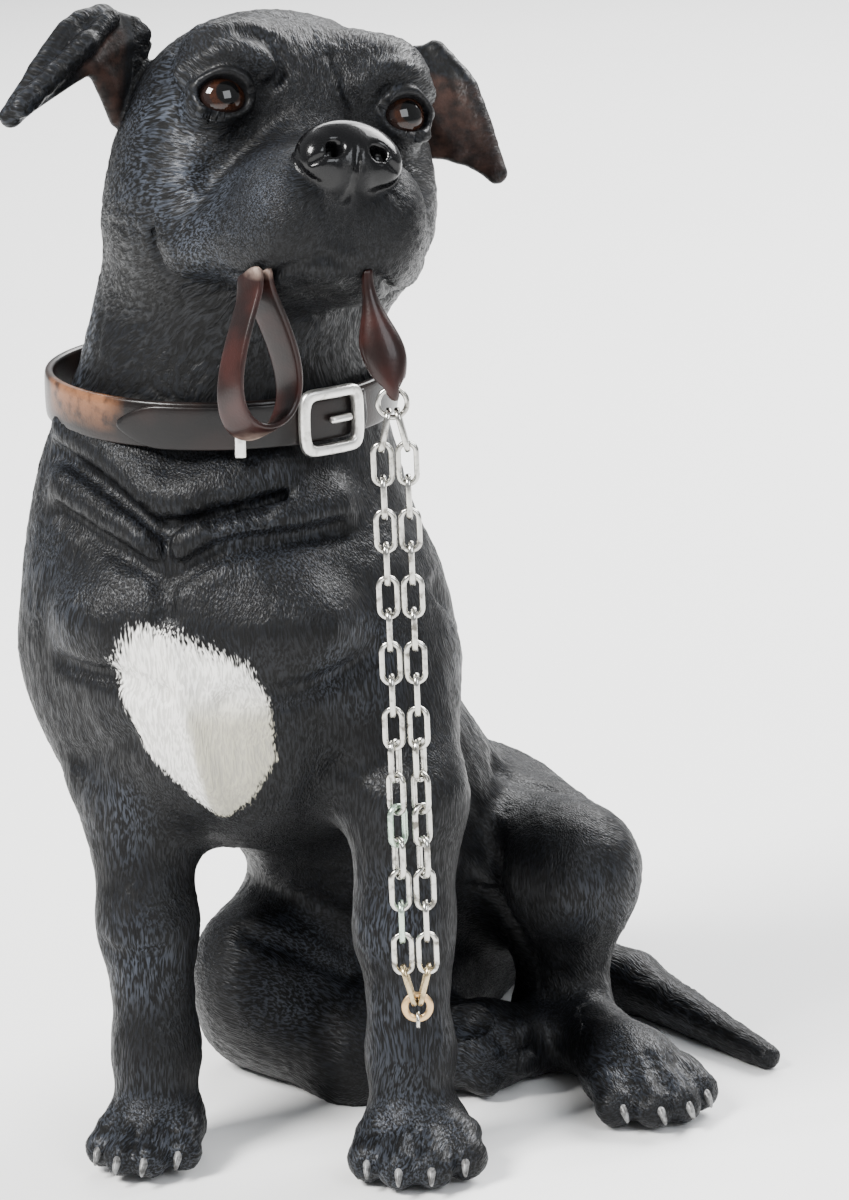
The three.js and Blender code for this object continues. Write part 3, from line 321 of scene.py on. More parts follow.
class Cord:
    """A round cord on a smooth curve through a row of points."""

    def __init__(self, points, radius):
        ends = [np.array(p, float) for p in points]
        ends = [2 * ends[0] - ends[1], *ends, 2 * ends[-1] - ends[-2]]
        self.path = [ends[1]]
        for a, b, c, d in zip(ends, ends[1:], ends[2:], ends[3:]):
            for t in (1 / 3, 2 / 3, 1):
                self.path.append(0.5 * (2 * b + (c - a) * t + (2 * a - 5 * b + 4 * c - d) * t * t
                                        + (3 * b - a - 3 * c + d) * t ** 3))
        self.radius = radius
        self.extent = [(p, radius) for p in self.path]

    def distance(self, points):
        nearest = np.full(len(points), 1e9)
        for p, q in zip(self.path, self.path[1:]):
            along = q - p
            t = np.clip((points - p) @ along / (along @ along), 0, 1)
            away = points - p - t[:, None] * along
            nearest = np.minimum(nearest, (away * away).sum(1))
        return np.sqrt(nearest) - self.radius

    def shape(self, mesh, place):
        for p, q in zip(self.path, self.path[1:]):
            count = math.ceil(np.linalg.norm(q - p) / self.radius * 2)
            for i in range(count + 1):
                bmesh.ops.create_icosphere(mesh, subdivisions=2, radius=self.radius,
                                           matrix=place @ Matrix.Translation(p + (q - p) * i / count))


class Flap:
    """A flat flap with three corners and rounded edges."""

    def __init__(self, corners, radius):
        self.corners, self.radius = [np.array(c, float) for c in corners], radius
        self.extent = [(c, radius) for c in self.corners]

    def distance(self, points):
        a, b, c = self.corners
        normal = np.cross(b - a, c - a)
        normal /= np.linalg.norm(normal)
        over = np.abs((points - a) @ normal)
        inside = np.ones(len(points), bool)
        edge = np.full(len(points), 1e9)
        for p, q in ((a, b), (b, c), (c, a)):
            inside &= (points - p) @ np.cross(normal, q - p) >= 0
            along = q - p
            t = np.clip((points - p) @ along / (along @ along), 0, 1)
            away = points - p - t[:, None] * along
            edge = np.minimum(edge, np.sqrt((away * away).sum(1)))
        return np.where(inside, over, edge) - self.radius

    def shape(self, mesh, place):
        a, b, c = (Vector(p) for p in self.corners)
        normal = (b - a).cross(c - a).normalized()
        corners = [mesh.verts.new(place @ (p - normal * self.radius)) for p in (a, b, c)]
        plate = bmesh.ops.extrude_face_region(mesh, geom=[mesh.faces.new(corners)])["geom"]
        lift = (place.to_3x3() @ normal) * 2 * self.radius
        bmesh.ops.translate(mesh, vec=lift, verts=[v for v in plate if isinstance(v, bmesh.types.BMVert)])
        bmesh.ops.recalc_face_normals(mesh, faces=list(mesh.faces))


class Lump:
    """Dabs of clay in a frame of their own, joined to the rest with one blend."""

    def __init__(self, dabs, blend, origin=(0, 0, 0), turn=(0, 0, 0), order="ZYX"):
        self.dabs, self.blend = dabs, blend
        self.origin, self.axes = np.array(origin, float), turned(turn, order)
        self.place = Matrix.Translation(self.origin) @ Matrix(self.axes).to_4x4()
        ends = [(self.axes @ p + self.origin, r) for shape, _, sign in dabs if sign > 0
                for p, r in shape.extent]
        self.low = np.min([p - r for p, r in ends], axis=0) - 14
        self.high = np.max([p + r for p, r in ends], axis=0) + 14

    def distance(self, points):
        p = (points - self.origin) @ self.axes
        d = np.full(len(p), 1e3)
        for shape, blend, sign in self.dabs:
            low = np.min([m - r for m, r in shape.extent], axis=0) - blend - 5
            high = np.max([m + r for m, r in shape.extent], axis=0) + blend + 5
            near = ((p > low) & (p < high)).all(1)
            if near.any():
                d[near] = sign * smooth_min(sign * d[near], shape.distance(p[near]), blend)
        return d

    def point(self, x, y, z):
        return self.axes @ np.array((x, y, z), float) + self.origin


class Clay:
    """All the lumps in one, with details that cross from lump to lump."""

    def __init__(self, lumps, details):
        self.lumps, self.details = lumps, details

    def distance(self, points):
        d = np.full(len(points), 1e3)
        for lump in self.lumps:
            near = ((points > lump.low) & (points < lump.high)).all(1)
            if near.any():
                d[near] = smooth_min(d[near], lump.distance(points[near]), lump.blend)
        for shape, blend, sign in self.details:
            low = np.min([m - r for m, r in shape.extent], axis=0) - blend - 2
            high = np.max([m + r for m, r in shape.extent], axis=0) + blend + 2
            near = ((points > low) & (points < high)).all(1)
            if near.any():
                d[near] = sign * smooth_min(sign * d[near], shape.distance(points[near]), blend)
        return d

    def skin(self, lumps, grain):
        """The even skin of some of the lumps, pressed on to the surface of the whole clay."""
        mesh = bmesh.new()
        for lump in lumps:
            for shape, _, sign in lump.dabs:
                if sign > 0:
                    shape.shape(mesh, lump.place)
        skin = bpy.data.meshes.new("skin")
        mesh.to_mesh(skin)
        mesh.free()
        for step in (grain * 1.7, grain * 1.2, grain):
            skin = evened(skin, step)
            self.press(skin)
        return skin

    def press(self, skin, far=None):
        """Moves a skin's points down the slope of the clay's distance until they lie on it."""
        for _ in range(PRESS_ROUNDS):
            points, normals = points_of(skin), normals_of(skin)
            d = self.distance(points)
            slope = np.stack([self.distance(points + step) - d for step in np.eye(3) * 0.15], axis=1) / 0.15
            steep = np.maximum((slope * slope).sum(1), 0.25)
            step = -slope * (d / steep)[:, None]
            facing = (slope * normals).sum(1)
            hollow = (d > 0.12) & (facing < 0.3)
            step[hollow] = -normals[hollow] * np.minimum(d[hollow], 0.7)[:, None]
            size = np.maximum(np.linalg.norm(step, axis=1) / 1.6, 1)
            step = step / size[:, None]
            if far is not None:
                step = step * far[:, None]
            set_points(skin, points + step)


def add(shape, blend):
    return shape, blend, 1


def carve(shape, blend):
    return shape, blend, -1


def groove(points, radius, blend):
    """A narrow furrow carved through a row of points."""
    return carve(Cord(points, radius), blend)


def roll(points, radius, blend):
    """A soft fold laid along a row of points."""
    return add(Cord(points, radius), blend)


def on_chest(form, places):
    """Places on the dog's front, given across and up. The clay tells how far forward they lie."""
    spots = np.array([(x, WELL_IN_FRONT, z) for x, z in places], float)
    for _ in range(STEPS_TO_SKIN):
        spots[:, 1] += np.clip(form.distance(spots), -1, 1.5)
    return spots


def sunk(points, depth, rise=0):
    """Points moved in towards the middle of the chest, and up."""
    moved = []
    for x, y, z in points:
        out = np.array((x + 20.0, y + 10.0))
        out /= np.linalg.norm(out)
        moved.append((x - out[0] * depth, y - out[1] * depth, z + rise))
    return moved


# Skins
def points_of(mesh):
    values = np.empty(len(mesh.vertices) * 3, np.float32)
    mesh.vertices.foreach_get("co", values)
    return values.reshape(-1, 3).astype(float)


def normals_of(mesh):
    values = np.empty(len(mesh.vertices) * 3, np.float32)
    mesh.vertex_normals.foreach_get("vector", values)
    return values.reshape(-1, 3).astype(float)


def set_points(mesh, points):
    mesh.vertices.foreach_set("co", points.astype(np.float32).ravel())
    mesh.update()


def evened(mesh, grain):
    """One closed skin of small even faces over all of a mesh's shells."""
    shell = bpy.data.objects.new("shell", mesh)
    bpy.context.collection.objects.link(shell)
    remesh = shell.modifiers.new("grain", "REMESH")
    remesh.mode, remesh.voxel_size = "VOXEL", grain
    skin = bpy.data.meshes.new_from_object(shell.evaluated_get(bpy.context.evaluated_depsgraph_get()))
    bpy.data.objects.remove(shell)
    return skin


def mark(mesh, name, values):
    mesh.attributes.new(name, "FLOAT", "POINT").data.foreach_set("value", np.asarray(values, np.float32))


def mark_place(mesh, name, values):
    data = mesh.attributes.new(name, "FLOAT_VECTOR", "POINT").data
    data.foreach_set("vector", values.astype(np.float32).ravel())


def lattice_noise(places, seed=0):
    """Smooth noise from 0 to 1 with one blotch in each unit of length."""
    cell = np.floor(places).astype(np.int64)
    f = places - cell
    f = f * f * (3 - 2 * f)
    total = np.zeros(len(places))
    for corner in itertools.product((0, 1), repeat=3):
        at = cell + corner
        key = (at[:, 0] * 73856093) ^ (at[:, 1] * 19349663) ^ (at[:, 2] * 83492791) ^ (seed * 2654435)
        key = (key * 1103515245 + 12345) & 0x7FFFFFFF
        key = (key ^ (key >> 13)) * 1274126177 & 0x7FFFFFFF
        total += (key >> 7) % 4096 / 4095 * np.prod(np.where(corner, f, 1 - f), axis=1)
    return total


# Pieces
def piece(name, mesh, material, body, slot, *nodes):
    """Puts a finished mesh in the scene as a named piece on its body."""
    if isinstance(mesh, bmesh.types.BMesh):
        made = bpy.data.meshes.new(name)
        mesh.to_mesh(made)
        mesh.free()
        mesh = made
    mesh.shade_smooth()
    mesh.materials.clear()
    mesh.materials.append(material)
    thing = bpy.data.objects.new(name, mesh)
    bpy.context.collection.objects.link(thing)
    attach(thing, body)
    if nodes:
        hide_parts(*nodes)
    return thing


def merged(node):
    """A merged copy of a CAD node's mesh, with its triangles paired into four-sided faces."""
    mesh = bmesh.new()
    mesh.from_mesh(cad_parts[node].data)
    bmesh.ops.remove_doubles(mesh, verts=list(mesh.verts), dist=2e-6)
    bmesh.ops.join_triangles(mesh, faces=list(mesh.faces), angle_face_threshold=math.radians(50),
                             angle_shape_threshold=math.radians(70))
    return mesh


def softened(thing, levels):
    """Rounds a piece with a subdivision surface."""
    smooth = thing.modifiers.new("soft", "SUBSURF")
    smooth.levels = smooth.render_levels = levels
    return thing


def sweep(mesh, stations, section, closed):
    """Draws a ring of points along stations, and closes the tube on itself or at its ends."""
    ring = [mesh.verts.new(stations[0] @ Vector((a, b, 0))) for a, b in section]
    edges = [mesh.edges.new((v, ring[i - 1])) for i, v in enumerate(ring)]
    first = list(edges)
    for before, after in zip(stations, stations[1:]):
        made = bmesh.ops.extrude_edge_only(mesh, edges=edges)["geom"]
        verts = [g for g in made if isinstance(g, bmesh.types.BMVert)]
        edges = [g for g in made if isinstance(g, bmesh.types.BMEdge) and g.is_boundary]
        bmesh.ops.transform(mesh, matrix=after @ before.inverted(), verts=verts)
    if closed:
        bmesh.ops.bridge_loops(mesh, edges=first + edges)
    else:
        for end in (first, edges):
            bmesh.ops.contextual_create(mesh, geom=end)
    bmesh.ops.recalc_face_normals(mesh, faces=list(mesh.faces))


def station(middle, across, up, scale=1.0):
    """The place of a section whose first axis is across and whose second is up."""
    across, up = Vector(across).normalized(), Vector(up).normalized()
    turn = Matrix((across, up, across.cross(up))).transposed().to_4x4()
    return Matrix.Translation(middle) @ turn @ Matrix.Diagonal((scale, scale, scale, 1))


def rounded(width, height, square=2.0, sides=14):
    """A ring of points from an ellipse (2) towards a rounded box (4 and more)."""
    ring = []
    for i in range(sides):
        t = 2 * math.pi * (i + 0.5) / sides
        c, s = math.cos(t), math.sin(t)
        ring.append((math.copysign(abs(c) ** (2 / square), c) * width / 2,
                     math.copysign(abs(s) ** (2 / square), s) * height / 2))
    return ring


# The dog's clay
def chest_lump():
    return Lump([
        add(Ball((-17, -20, 114), (44.5, 43, 48), (-14, 0, 0)), 10),
        add(Ball((-26, -10, 141), (36.4, 36.1, 31)), 12),
        add(Limb((-17, 4, 100), (-1, 28, 58), 36.1, 28), 18),
        add(Limb((-1, 28, 58), (4, 62, 38), 28, 30.1), 14),
        add(Ball((-18, -45, 118), (30, 18, 30)), 10),
        add(Ball((-14, -46, 96), (20, 14, 18)), 12),
        add(Ball((-46.8, -20, 120), (20, 27, 38)), 12),
        add(Ball((8.8, -18, 108), (18, 27, 34)), 12),
        add(Limb((-22, -12, 156), (-14.5, -16, 201.5), 36.9, 29.6), 14),
    ], 1)


def front_leg(side, arm, elbow, wrist):
    middle = ((elbow[0] + wrist[0]) / 2 - side * 0.6, wrist[1] + 3, 53.5)
    return Lump([
        add(Limb(arm, elbow, 19, 13), 8),
        add(Limb(elbow, middle, 13, 10.2), 6),
        add(Limb(middle, wrist, 10.2, 8.8), 6),
        add(Limb(wrist, (wrist[0], wrist[1] - 3, 10.2), 8.8, 8.8), 6),
    ], 9)


def toes_of(width, length):
    """The place of each toe's middle line: across, and how far it reaches forward."""
    return [((toe - 1.5) * width / 4 * 0.97, length * (0.5 - 0.075 * (toe - 1.5) ** 2)) for toe in range(4)]


def paw(origin, turn, width, length, height):
    toe_width = width / 4
    dabs = [add(Ball((0, length * 0.12, height * 0.45), (width * 0.42, length * 0.36, height * 0.55)), 4)]
    for spread, reach in toes_of(width, length):
        dabs.append(add(Limb((spread * 0.8, 0, height * 0.5),
                             (spread, -reach + toe_width * 0.7, height * 0.33),
                             toe_width * 0.62, toe_width * 0.68), 1.6))
        dabs.append(add(Ball((spread * 0.95, -reach + toe_width * 1.5, height * 0.52),
                             (toe_width * 0.56, toe_width * 0.8, toe_width * 0.5)), 1.5))
    for gap in (-1, 0, 1):
        x = gap * toe_width * 0.97
        dabs.append(carve(Limb((x * 0.8, -length * 0.08, height * 0.86),
                               (x, -length * 0.5, height * 0.42), 0.7, 0.9), 1.6))
    return Lump(dabs, 5, origin, (0, 0, turn))


def hind_lump():
    return Lump([
        add(Limb((20, 58, 40), (47, 20, 48), 25, 17), 6),
        add(Limb((47, 20, 48), (42, 28, 10), 13, 10), 8),
        add(Limb((-12, 56, 34), (-22, 4, 25), 25, 18), 8),
        add(Limb((-22, 4, 25), (2, -6, 10), 17, 11), 8),
        add(Limb((2, -6, 10), (30, 1, 11), 11, 10), 6),
        add(Limb((30, 1, 11), (37, 11, 9), 10, 9), 4),
        add(Limb((0, 62, 16), (2, 18, 16), 24, 20), 10),
        add(Limb((-28, 12, 13), (0, -4, 10), 14, 11), 9),
    ], 9)


def tail_lump():
    return Lump([
        add(Limb((8, 86, 14), (52.5, 62.7, 7), 9.5, 7.05), 8),
        add(Limb((52.5, 62.7, 7), (92.8, 24.5, 3), 7.05, 3), 4),
    ], 10)


def ear_points(side):
    """The corners of an ear in the head's frame: root, crest, fold, tip, inner notch and base."""
    right = (("root", -5, 5, 5), ("crest", 6.3, 4, 3.5), ("fold", 15, 1, 9), ("tip", 28, -3, 30.4),
             ("inner", 9.5, 0, 16), ("base", 2, 5, 26.2))
    left = (("root", -5, 5, 5), ("crest", 6.3, 4, 3.5), ("fold", 13, 1, 12.2), ("tip", 18.5, -3, 32),
            ("inner", 10.5, 0, 27.5), ("base", 2, 5, 26.2))
    return {name: (side * (EAR_SIDE + out), y, EAR_TOP - drop)
            for name, out, y, drop in (right if side < 0 else left)}


def eye_place(side):
    """The middle of an eye in the head's frame."""
    return side * 20, -24, 13


def nose_shapes():
    """The nose in the head's frame: its pad, the strip that runs down to the lip, and its two wings."""
    pad = Ball((0, -50, -4.2), (11.5, 6.5, 8.2))
    strip = Limb((0, -50.2, -7), (-0.5, -49.2, -12.5), 5.4, 3)
    wings = [Ball((side * 6.2, -52.2, -5), (4.9, 4, 5.2)) for side in (-1, 1)]
    return pad, strip, wings


def head_lump():
    pad, strip, wings = nose_shapes()
    dabs = [
        add(Ball((0, 3, 13), (32.5, 34, 28)), 6),
        add(Ball((0, -17, 18), (15, 12, 12)), 6),
        add(Limb((0, 4, -10), (0, -37, -18), 22.6, 9), 8),
        add(Limb((0, -14, 0), (0, -40, -9), 15, 9.5), 8),
    ]
    for side in (-1, 1):
        dabs += [
            add(Ball((side * 18.5, 0, -2), (17.5, 24, 22)), 8),
            add(Ball((side * 15, -20, 24), (13, 10, 8.5)), 5),
            add(Ball((side * 9.5, -32.5, -15), (11.5, 20, 15), (-6, 0, side * 6)), 8),
            add(Ball(eye_place(side), (7.6, 7.6, 7.6)), 3),
            add(Limb((side * 13.5, -33, -17), (side * 22, -15, -16), 8, 7), 5),
            roll([(side * 9.5, -28.6, 17.5), (side * 14, -30.2, 21), (side * 21, -28.6, 22),
                  (side * 27, -21.6, 19.5)], 2.6, 3),
        ]
    dabs += [
        carve(Ball((-1.5, -33.8, 22), (3.5, 3, 9)), 4),
        carve(Limb((-1.6, -53, -16), (-3.2, -51, -24), 1.1, 1), 2),
        add(Ball((-2, -41, -24), (7.5, 6, 5)), 3),
        add(pad, 1.5),
        add(strip, 4),
    ]
    for side, wing in zip((-1, 1), wings):
        dabs += [
            add(wing, 1),
            carve(Limb((side * 4.3, -58, -2.8), (side * 5.6, -53.2, -5), 2.1, 1.4), 0.8),
            carve(Limb((side * 5.4, -57.5, -4.8), (side * 9.4, -54.6, -7), 0.85, 0.5), 0.6),
            roll([(side * 14.8, -30.4, 10), (side * 17, -30.7, 8.4), (side * 21, -30.4, 7.8),
                  (side * 25.4, -27.4, 9)], 1.1, 1.4),
            roll([(side * 14.8, -30.2, 13), (side * 17, -30.8, 16.6), (side * 21.5, -30.2, 17.6),
                  (side * 26.6, -26, 14.6)], 1.1, 1.4),
            carve(Ball((side * 21.2, -35.5, 12.7), (6.7, 12, 4.4), (0, -side * 8, 0)), 0.8),
            groove([(side * 13.2, -32, 14.5), (side * 17, -33, 18.8), (side * 22.5, -31.4, 19.4),
                    (side * 28.5, -25.2, 15.6)], 0.5, 1),
            groove([(side * 13, -31.6, 8.6), (side * 18, -32.6, 5.6), (side * 24, -30.6, 5.6),
                    (side * 28.5, -26, 8.6)], 0.5, 1.4),
            groove([(side * 14.6, -32, 11.2), (side * 11.6, -32, 9.4)], 0.6, 0.9),
            groove([(side * 29, -13, -8), (side * 29.5, -10, -15), (side * 26, -8, -21.5),
                    (side * 18, -12, -26)], 0.9, 2.5),
        ]
    dabs += [
        groove([(-16.5, -29.5, 27.5), (-10.5, -30, 25.5), (-8.5, -30.5, 19.5), (-12, -30, 13)], 1.1, 2.4),
        groove([(3.5, -30, 23.5), (5, -31, 18.5), (7, -31, 14.5)], 1.1, 2.4),
        groove([(-9, -30.5, 10), (-13.5, -29, 6.5), (-17.5, -27, 2), (-23, -24, -4)], 1.2, 4),
        groove([(9, -30.5, 10), (13.5, -29, 6.5), (17.5, -27, 2)], 1.2, 4),
        groove([(0.2, -57.2, 0), (-0.1, -57, -4.5), (-0.3, -55.9, -9), (-0.7, -53.6, -13.5),
                (-1.4, -52.8, -17)], 0.5, 0.8),
        groove([(-0.6, -54, -12.3), (-2.2, -53, -15.5), (-3.2, -52, -19), (-3.6, -50, -23.5)], 0.7, 1.5),
        groove([(-3.6, -47.8, -25), (4, -46.6, -27), (9.5, -44, -27.8), (15.5, -34, -27.4),
                (21.5, -20, -25.4), (24.5, -10, -22)], 0.9, 1.5),
        groove([(-3.6, -47.8, -25), (-10, -45, -27.2), (-16, -34, -27.2), (-21.5, -20, -25.4)], 0.9, 1.5),
    ]
    for side in (-1, 1):
        p = ear_points(side)
        names = (("root", "crest", "inner"), ("crest", "fold", "inner"), ("fold", "tip", "inner"),
                 ("root", "inner", "base"))
        dabs += [add(Flap([p[n] for n in corners], 1.6), 1.5) for corners in names]
        dabs.append(roll([p["crest"], p["fold"], p["tip"]], 2.3, 1.6))
        dabs.append(roll([p["tip"], p["inner"], p["base"]], 1.7, 1.2))
    # The right ear's tip lies folded forward over its front
    p = ear_points(-1)
    front = [tuple(np.array(p[n]) + np.array(step)) for n, step in
             (("fold", (3.5, -3.6, -3.5)), ("tip", (1.5, -3, 1.5)), ("crest", (1, -3.4, -1.5)))]
    dabs += [roll([front[2], front[0]], 2.2, 1.4), roll([front[0], front[1]], 2.4, 1.4)]
    return Lump(dabs, 12, (-4, -24, 214.7), (-19.5, 9.8, 33), "XYZ")


def chest_details(form):
    """The folds and creases of the dog's front, which cross from one lump to the next."""
    fold_top = on_chest(form, [(-53, 159), (-40, 155), (-29, 149), (-23, 146), (-11, 149), (1, 151)])
    fold_low = on_chest(form, [(-51, 147), (-36, 142), (-25, 138), (-21, 136), (-10, 142), (2, 143),
                               (12, 143)])
    centre = on_chest(form, [(-22, 146), (-21, 136), (-21, 128)])
    ridge = on_chest(form, [(-20, 123), (-17, 107), (-14, 94), (-12, 85)])
    crease_right = on_chest(form, [(-50, 115), (-31, 114), (-22, 111)])
    crease_left = on_chest(form, [(-9, 109), (-5, 111), (7, 111), (20, 116)])
    return [
        add(Ball((-34, -50.5, 125), (16, 13.5, 11)), 6),
        add(Ball((1, -50, 124), (16, 13, 11)), 6),
        roll(sunk(fold_top, 4.0, 5.5), 4.5, 6),
        roll(sunk(fold_low, 3.8, 5), 4.5, 6),
        groove(sunk(fold_top, -0.3), 1.4, 4),
        groove(sunk(fold_low, -0.3), 1.4, 4),
        groove(sunk(centre, -0.5), 0.9, 3.5),
        roll(sunk(ridge, 0.9), 2.4, 2.4),
        groove(sunk(crease_right, -0.5), 1.1, 4),
        groove(sunk(crease_left, -0.5), 1.1, 4),
        groove([(-31.5, -62.5, 100), (-40, -58.5, 96), (-49, -51.5, 92)], 1.1, 4),
        groove([(13, -51.5, 91.5), (20, -51.5, 92), (28, -46, 95)], 1.1, 4),
        roll([(-46, -44.5, 86), (-36, -49.5, 82), (-28, -47, 84)], 5, 5),
        groove([(-43.5, -57, 51), (-36, -60, 49), (-27, -58, 50)], 0.8, 3),
        groove([(18, -54.5, 42), (25, -58, 41), (33, -54, 43)], 0.8, 3),
        groove([(28.5, 30.5, 70.5), (38.5, 34.5, 65.5), (48, 34, 62)], 1.4, 5),
        groove([(24, 12, 66), (32, 14, 52), (36, 12, 36), (40, 10, 24)], 1.4, 5),
        groove([(44, 4, 32), (52, 8, 30), (60, 16, 28)], 1.2, 5),
        groove([(45, 6, 26), (53, 12, 24), (58, 20, 22)], 1.0, 4),
        groove([(-24.5, -9.5, 39.5), (-11, -9.5, 35.5), (-0.5, -5, 29.5)], 1.3, 4),
        groove([(28.5, -19.5, 124.5), (33, -10, 116), (35, 0, 104)], 1.2, 5),
        # Pads under the far hind foot, turned to the front
        add(Ball((27.5, -6.5, 19.5), (6.2, 4.5, 4.6)), 2),
        add(Ball((38, -2.6, 15.5), (4.6, 4.4, 3.8)), 1.6),
        add(Ball((31.5, -8.2, 12.4), (4.6, 4, 3.8)), 1.6),
        add(Ball((39, -2.6, 8.4), (4.4, 4, 3.6)), 1.6),
        add(Ball((31.5, -6.8, 4.8), (4.4, 4, 3.4)), 1.6),
    ]


# Each paw's place, turn, width, length and height
PAW_PLACES = (((-33, -57, 0), 0, 25.4, 34, 17), ((28, -54, 0), 12, 29.2, 34, 17),
              ((70, -8.96, 0), 37, 28.4, 34.7, 17))
HEAD = head_lump()
PAWS = [paw(*place) for place in PAW_PLACES]
TAIL = tail_lump()
CHEST = chest_lump()
HIND = hind_lump()
LEGS = [front_leg(-1, (-46.3, -26, 110), (-37, -41, 82), (-33, -51, 25)),
        front_leg(1, (13.3, -24, 106), (24, -38, 82), (25, -46, 25))]
FOOT = Lump([add(Limb((42, 28, 10), (63, 0, 9), 10, 9), 5)], 7)
LUMPS = [CHEST, HIND, *LEGS, *PAWS, FOOT, TAIL, HEAD]
CLAY = Clay(LUMPS, chest_details(Clay(LUMPS, [])))


# Coat: the lay of the strokes, and what is painted
def lay_along(points, flow):
    """Stroke places in a frame whose last axis is the way the hair lies."""
    flow = Vector(flow).normalized()
    axes = np.array(flow.to_track_quat("Z", "Y").to_matrix())
    return points @ axes / (STROKE_ACROSS, STROKE_ACROSS, STROKE_ALONG)


def hair_lay(points, on_head):
    """The main and second places of the strokes, and the share of the second."""
    wander = np.stack([lattice_noise(points / 9, seed) - 0.5 for seed in (1, 2, 3)], axis=1) * 3.2
    points = points + wander
    out = (points - HEAD.origin) @ HEAD.axes - np.array((0, -50, -4))
    reach = np.linalg.norm(out, axis=1)
    swirl = out / np.maximum(reach, 1)[:, None] * (72 + 0.4 * reach)[:, None]
    main = lay_along(points, (0, 0, 1))
    second = lay_along(points, (0.3, 0.5, -0.8))
    share = smooth_step(points[:, 1], 2, 16) * smooth_step(-points[:, 2], -128, -112)
    x, y, z = points.T
    for region, flow in (
            ((z < 20) & (y < -32), (0, 1, 0.25)),
            ((z < 21) & (y > -32) & (y < 10) & (x > 52), (0.6, -0.8, -0.1)),
            ((z < 46) & (y > -32) & (y < 60) & (x < 40), (1, -0.35, -0.2)),
            ((TAIL.distance(points) < 2) & (x > 26), (0.7, -0.7, -0.1))):
        second[region] = lay_along(points[region], flow)
    share = np.maximum(share, smooth_step(-z, -19, -13) * (y < -32))
    share = np.maximum(share, smooth_step(-z, -20, -14) * (x > 52) * (y < 12))
    share = np.maximum(share, smooth_step(-z, -46, -38) * (y > -28) * (x < 40))
    if on_head:
        neck = smooth_step(-(out[:, 2] + 0.45 * (out[:, 1])), 14, 24)
        return swirl, main, neck
    return main, second, share


def dabbed(points, spots):
    """Painted patches: each spot has a middle, a radius and a strength."""
    value = np.zeros(len(points))
    for middle, radius, strength in spots:
        away = np.linalg.norm(points - np.array(middle), axis=1) / radius
        value = np.maximum(value, strength * (1 - smooth_step(away, 0.35, 1)))
    return value


# Where the coat is drybrushed blue-grey with a painted highlight, most on its lit side: middle, radius and
# strength, on the head in the head's frame
HEAD_DRYBRUSH_AND_HIGHLIGHT = (
    ((-30, -14, 2), 26, 0.95), ((-20, -38, -10), 20, 1.0), ((-27, -16, 24), 17, 0.7),
    ((-14, -30, 24), 9, 0.35), ((-22, -24, -22), 18, 0.8), ((24, -20, -14), 16, 0.3),
    ((30, 10, 10), 24, 0.4), ((0, 34, 12), 26, 0.4), ((-58, -2, 14), 12, 0.35))
HEAD_DARK = (((-20, -28, 4), 9, 1), ((-20, -29, 13), 10, 1))
# Drybrushed blue-grey with a painted highlight on the neck and body: middle, radius and strength
NECK_DRYBRUSH_AND_HIGHLIGHT = (((-52, -22, 182), 20, 0.8),)
BODY_DRYBRUSH_AND_HIGHLIGHT = (
    ((-54, -34, 158), 14, 0.7), ((-58, -41, 135), 18, 0.6), ((-44, -52, 126), 16, 0.55),
    ((2, -52, 148), 22, 0.45), ((-40, -56, 80), 16, 0.65), ((-36, -60, 48), 18, 0.7),
    ((-33, -70, 12), 22, 0.75), ((22, -56, 60), 18, 0.6), ((26, -56, 32), 18, 0.7),
    ((28, -66, 12), 22, 0.75), ((18, -50, 116), 18, 0.6), ((34, -16, 110), 18, 0.35),
    ((44, 30, 62), 22, 0.35), ((60, 8, 46), 18, 0.4), ((72, -10, 12), 22, 0.6),
    ((-12, -10, 30), 22, 0.7), ((-34, 8, 24), 20, 0.4), ((30, -6, 14), 14, 0.5),
    ((70, 46, 8), 18, 0.35), ((-56, 20, 120), 30, 0.45), ((-46, 44, 70), 30, 0.4),
    ((0, 60, 100), 34, 0.35), ((0, 92, 50), 30, 0.4))
# The white patch, a leaning leaf shape on the front of the chest: across and up
PATCH = ((-28, 125.5), (-20, 125), (-3.5, 117.5), (1, 108), (1.5, 96.5), (-5, 86.5), (-10.5, 82.5),
         (-15, 84.5), (-26.5, 96.5), (-32.5, 110), (-33.5, 118))


def nose_mark(head):
    """1 on the glossy nose and 0 off it, from places in the head's frame."""
    pad, strip, wings = nose_shapes()
    nose = np.min([shape.distance(head) for shape in (pad, strip, *wings)], axis=0)
    return smooth_step(-nose, -1.0, -0.4) * (head[:, 1] < -46)


def lid_mark(head):
    """1 on the bare lids round the eyes."""
    lids = np.min([Ball((side * 21.2, -32, 12.7), (7.6, 9, 5.4), (0, -side * 8, 0)).distance(head)
                   for side in (-1, 1)], axis=0)
    return smooth_step(-lids, -1.2, -0.4)


def ear_mark(head):
    """1 on the flaps of the ears."""
    ear = np.min([shape.distance(head) for shape, _, _ in HEAD.dabs if isinstance(shape, Flap)], axis=0)
    return smooth_step(-ear, -1.5, -0.3) * (np.abs(head[:, 0]) > EAR_SIDE - 0.5)


def inner_ear_mark(head, head_normals, on_ear):
    """1 on the bare skin inside an ear, which the right ear's folded tip partly covers."""
    out, drop = np.abs(head[:, 0]) - EAR_SIDE, EAR_TOP - head[:, 2]
    inner = on_ear * smooth_step(-head_normals[:, 1], 0.1, 0.5) * smooth_step(out, 1, 3)
    right = smooth_step(drop - 0.5 * out, 4.5, 6.5) * smooth_step(-out, -14, -11)
    return inner * np.where(head[:, 0] < 0, right, smooth_step(drop - 0.25 * out, 7.5, 9.5))


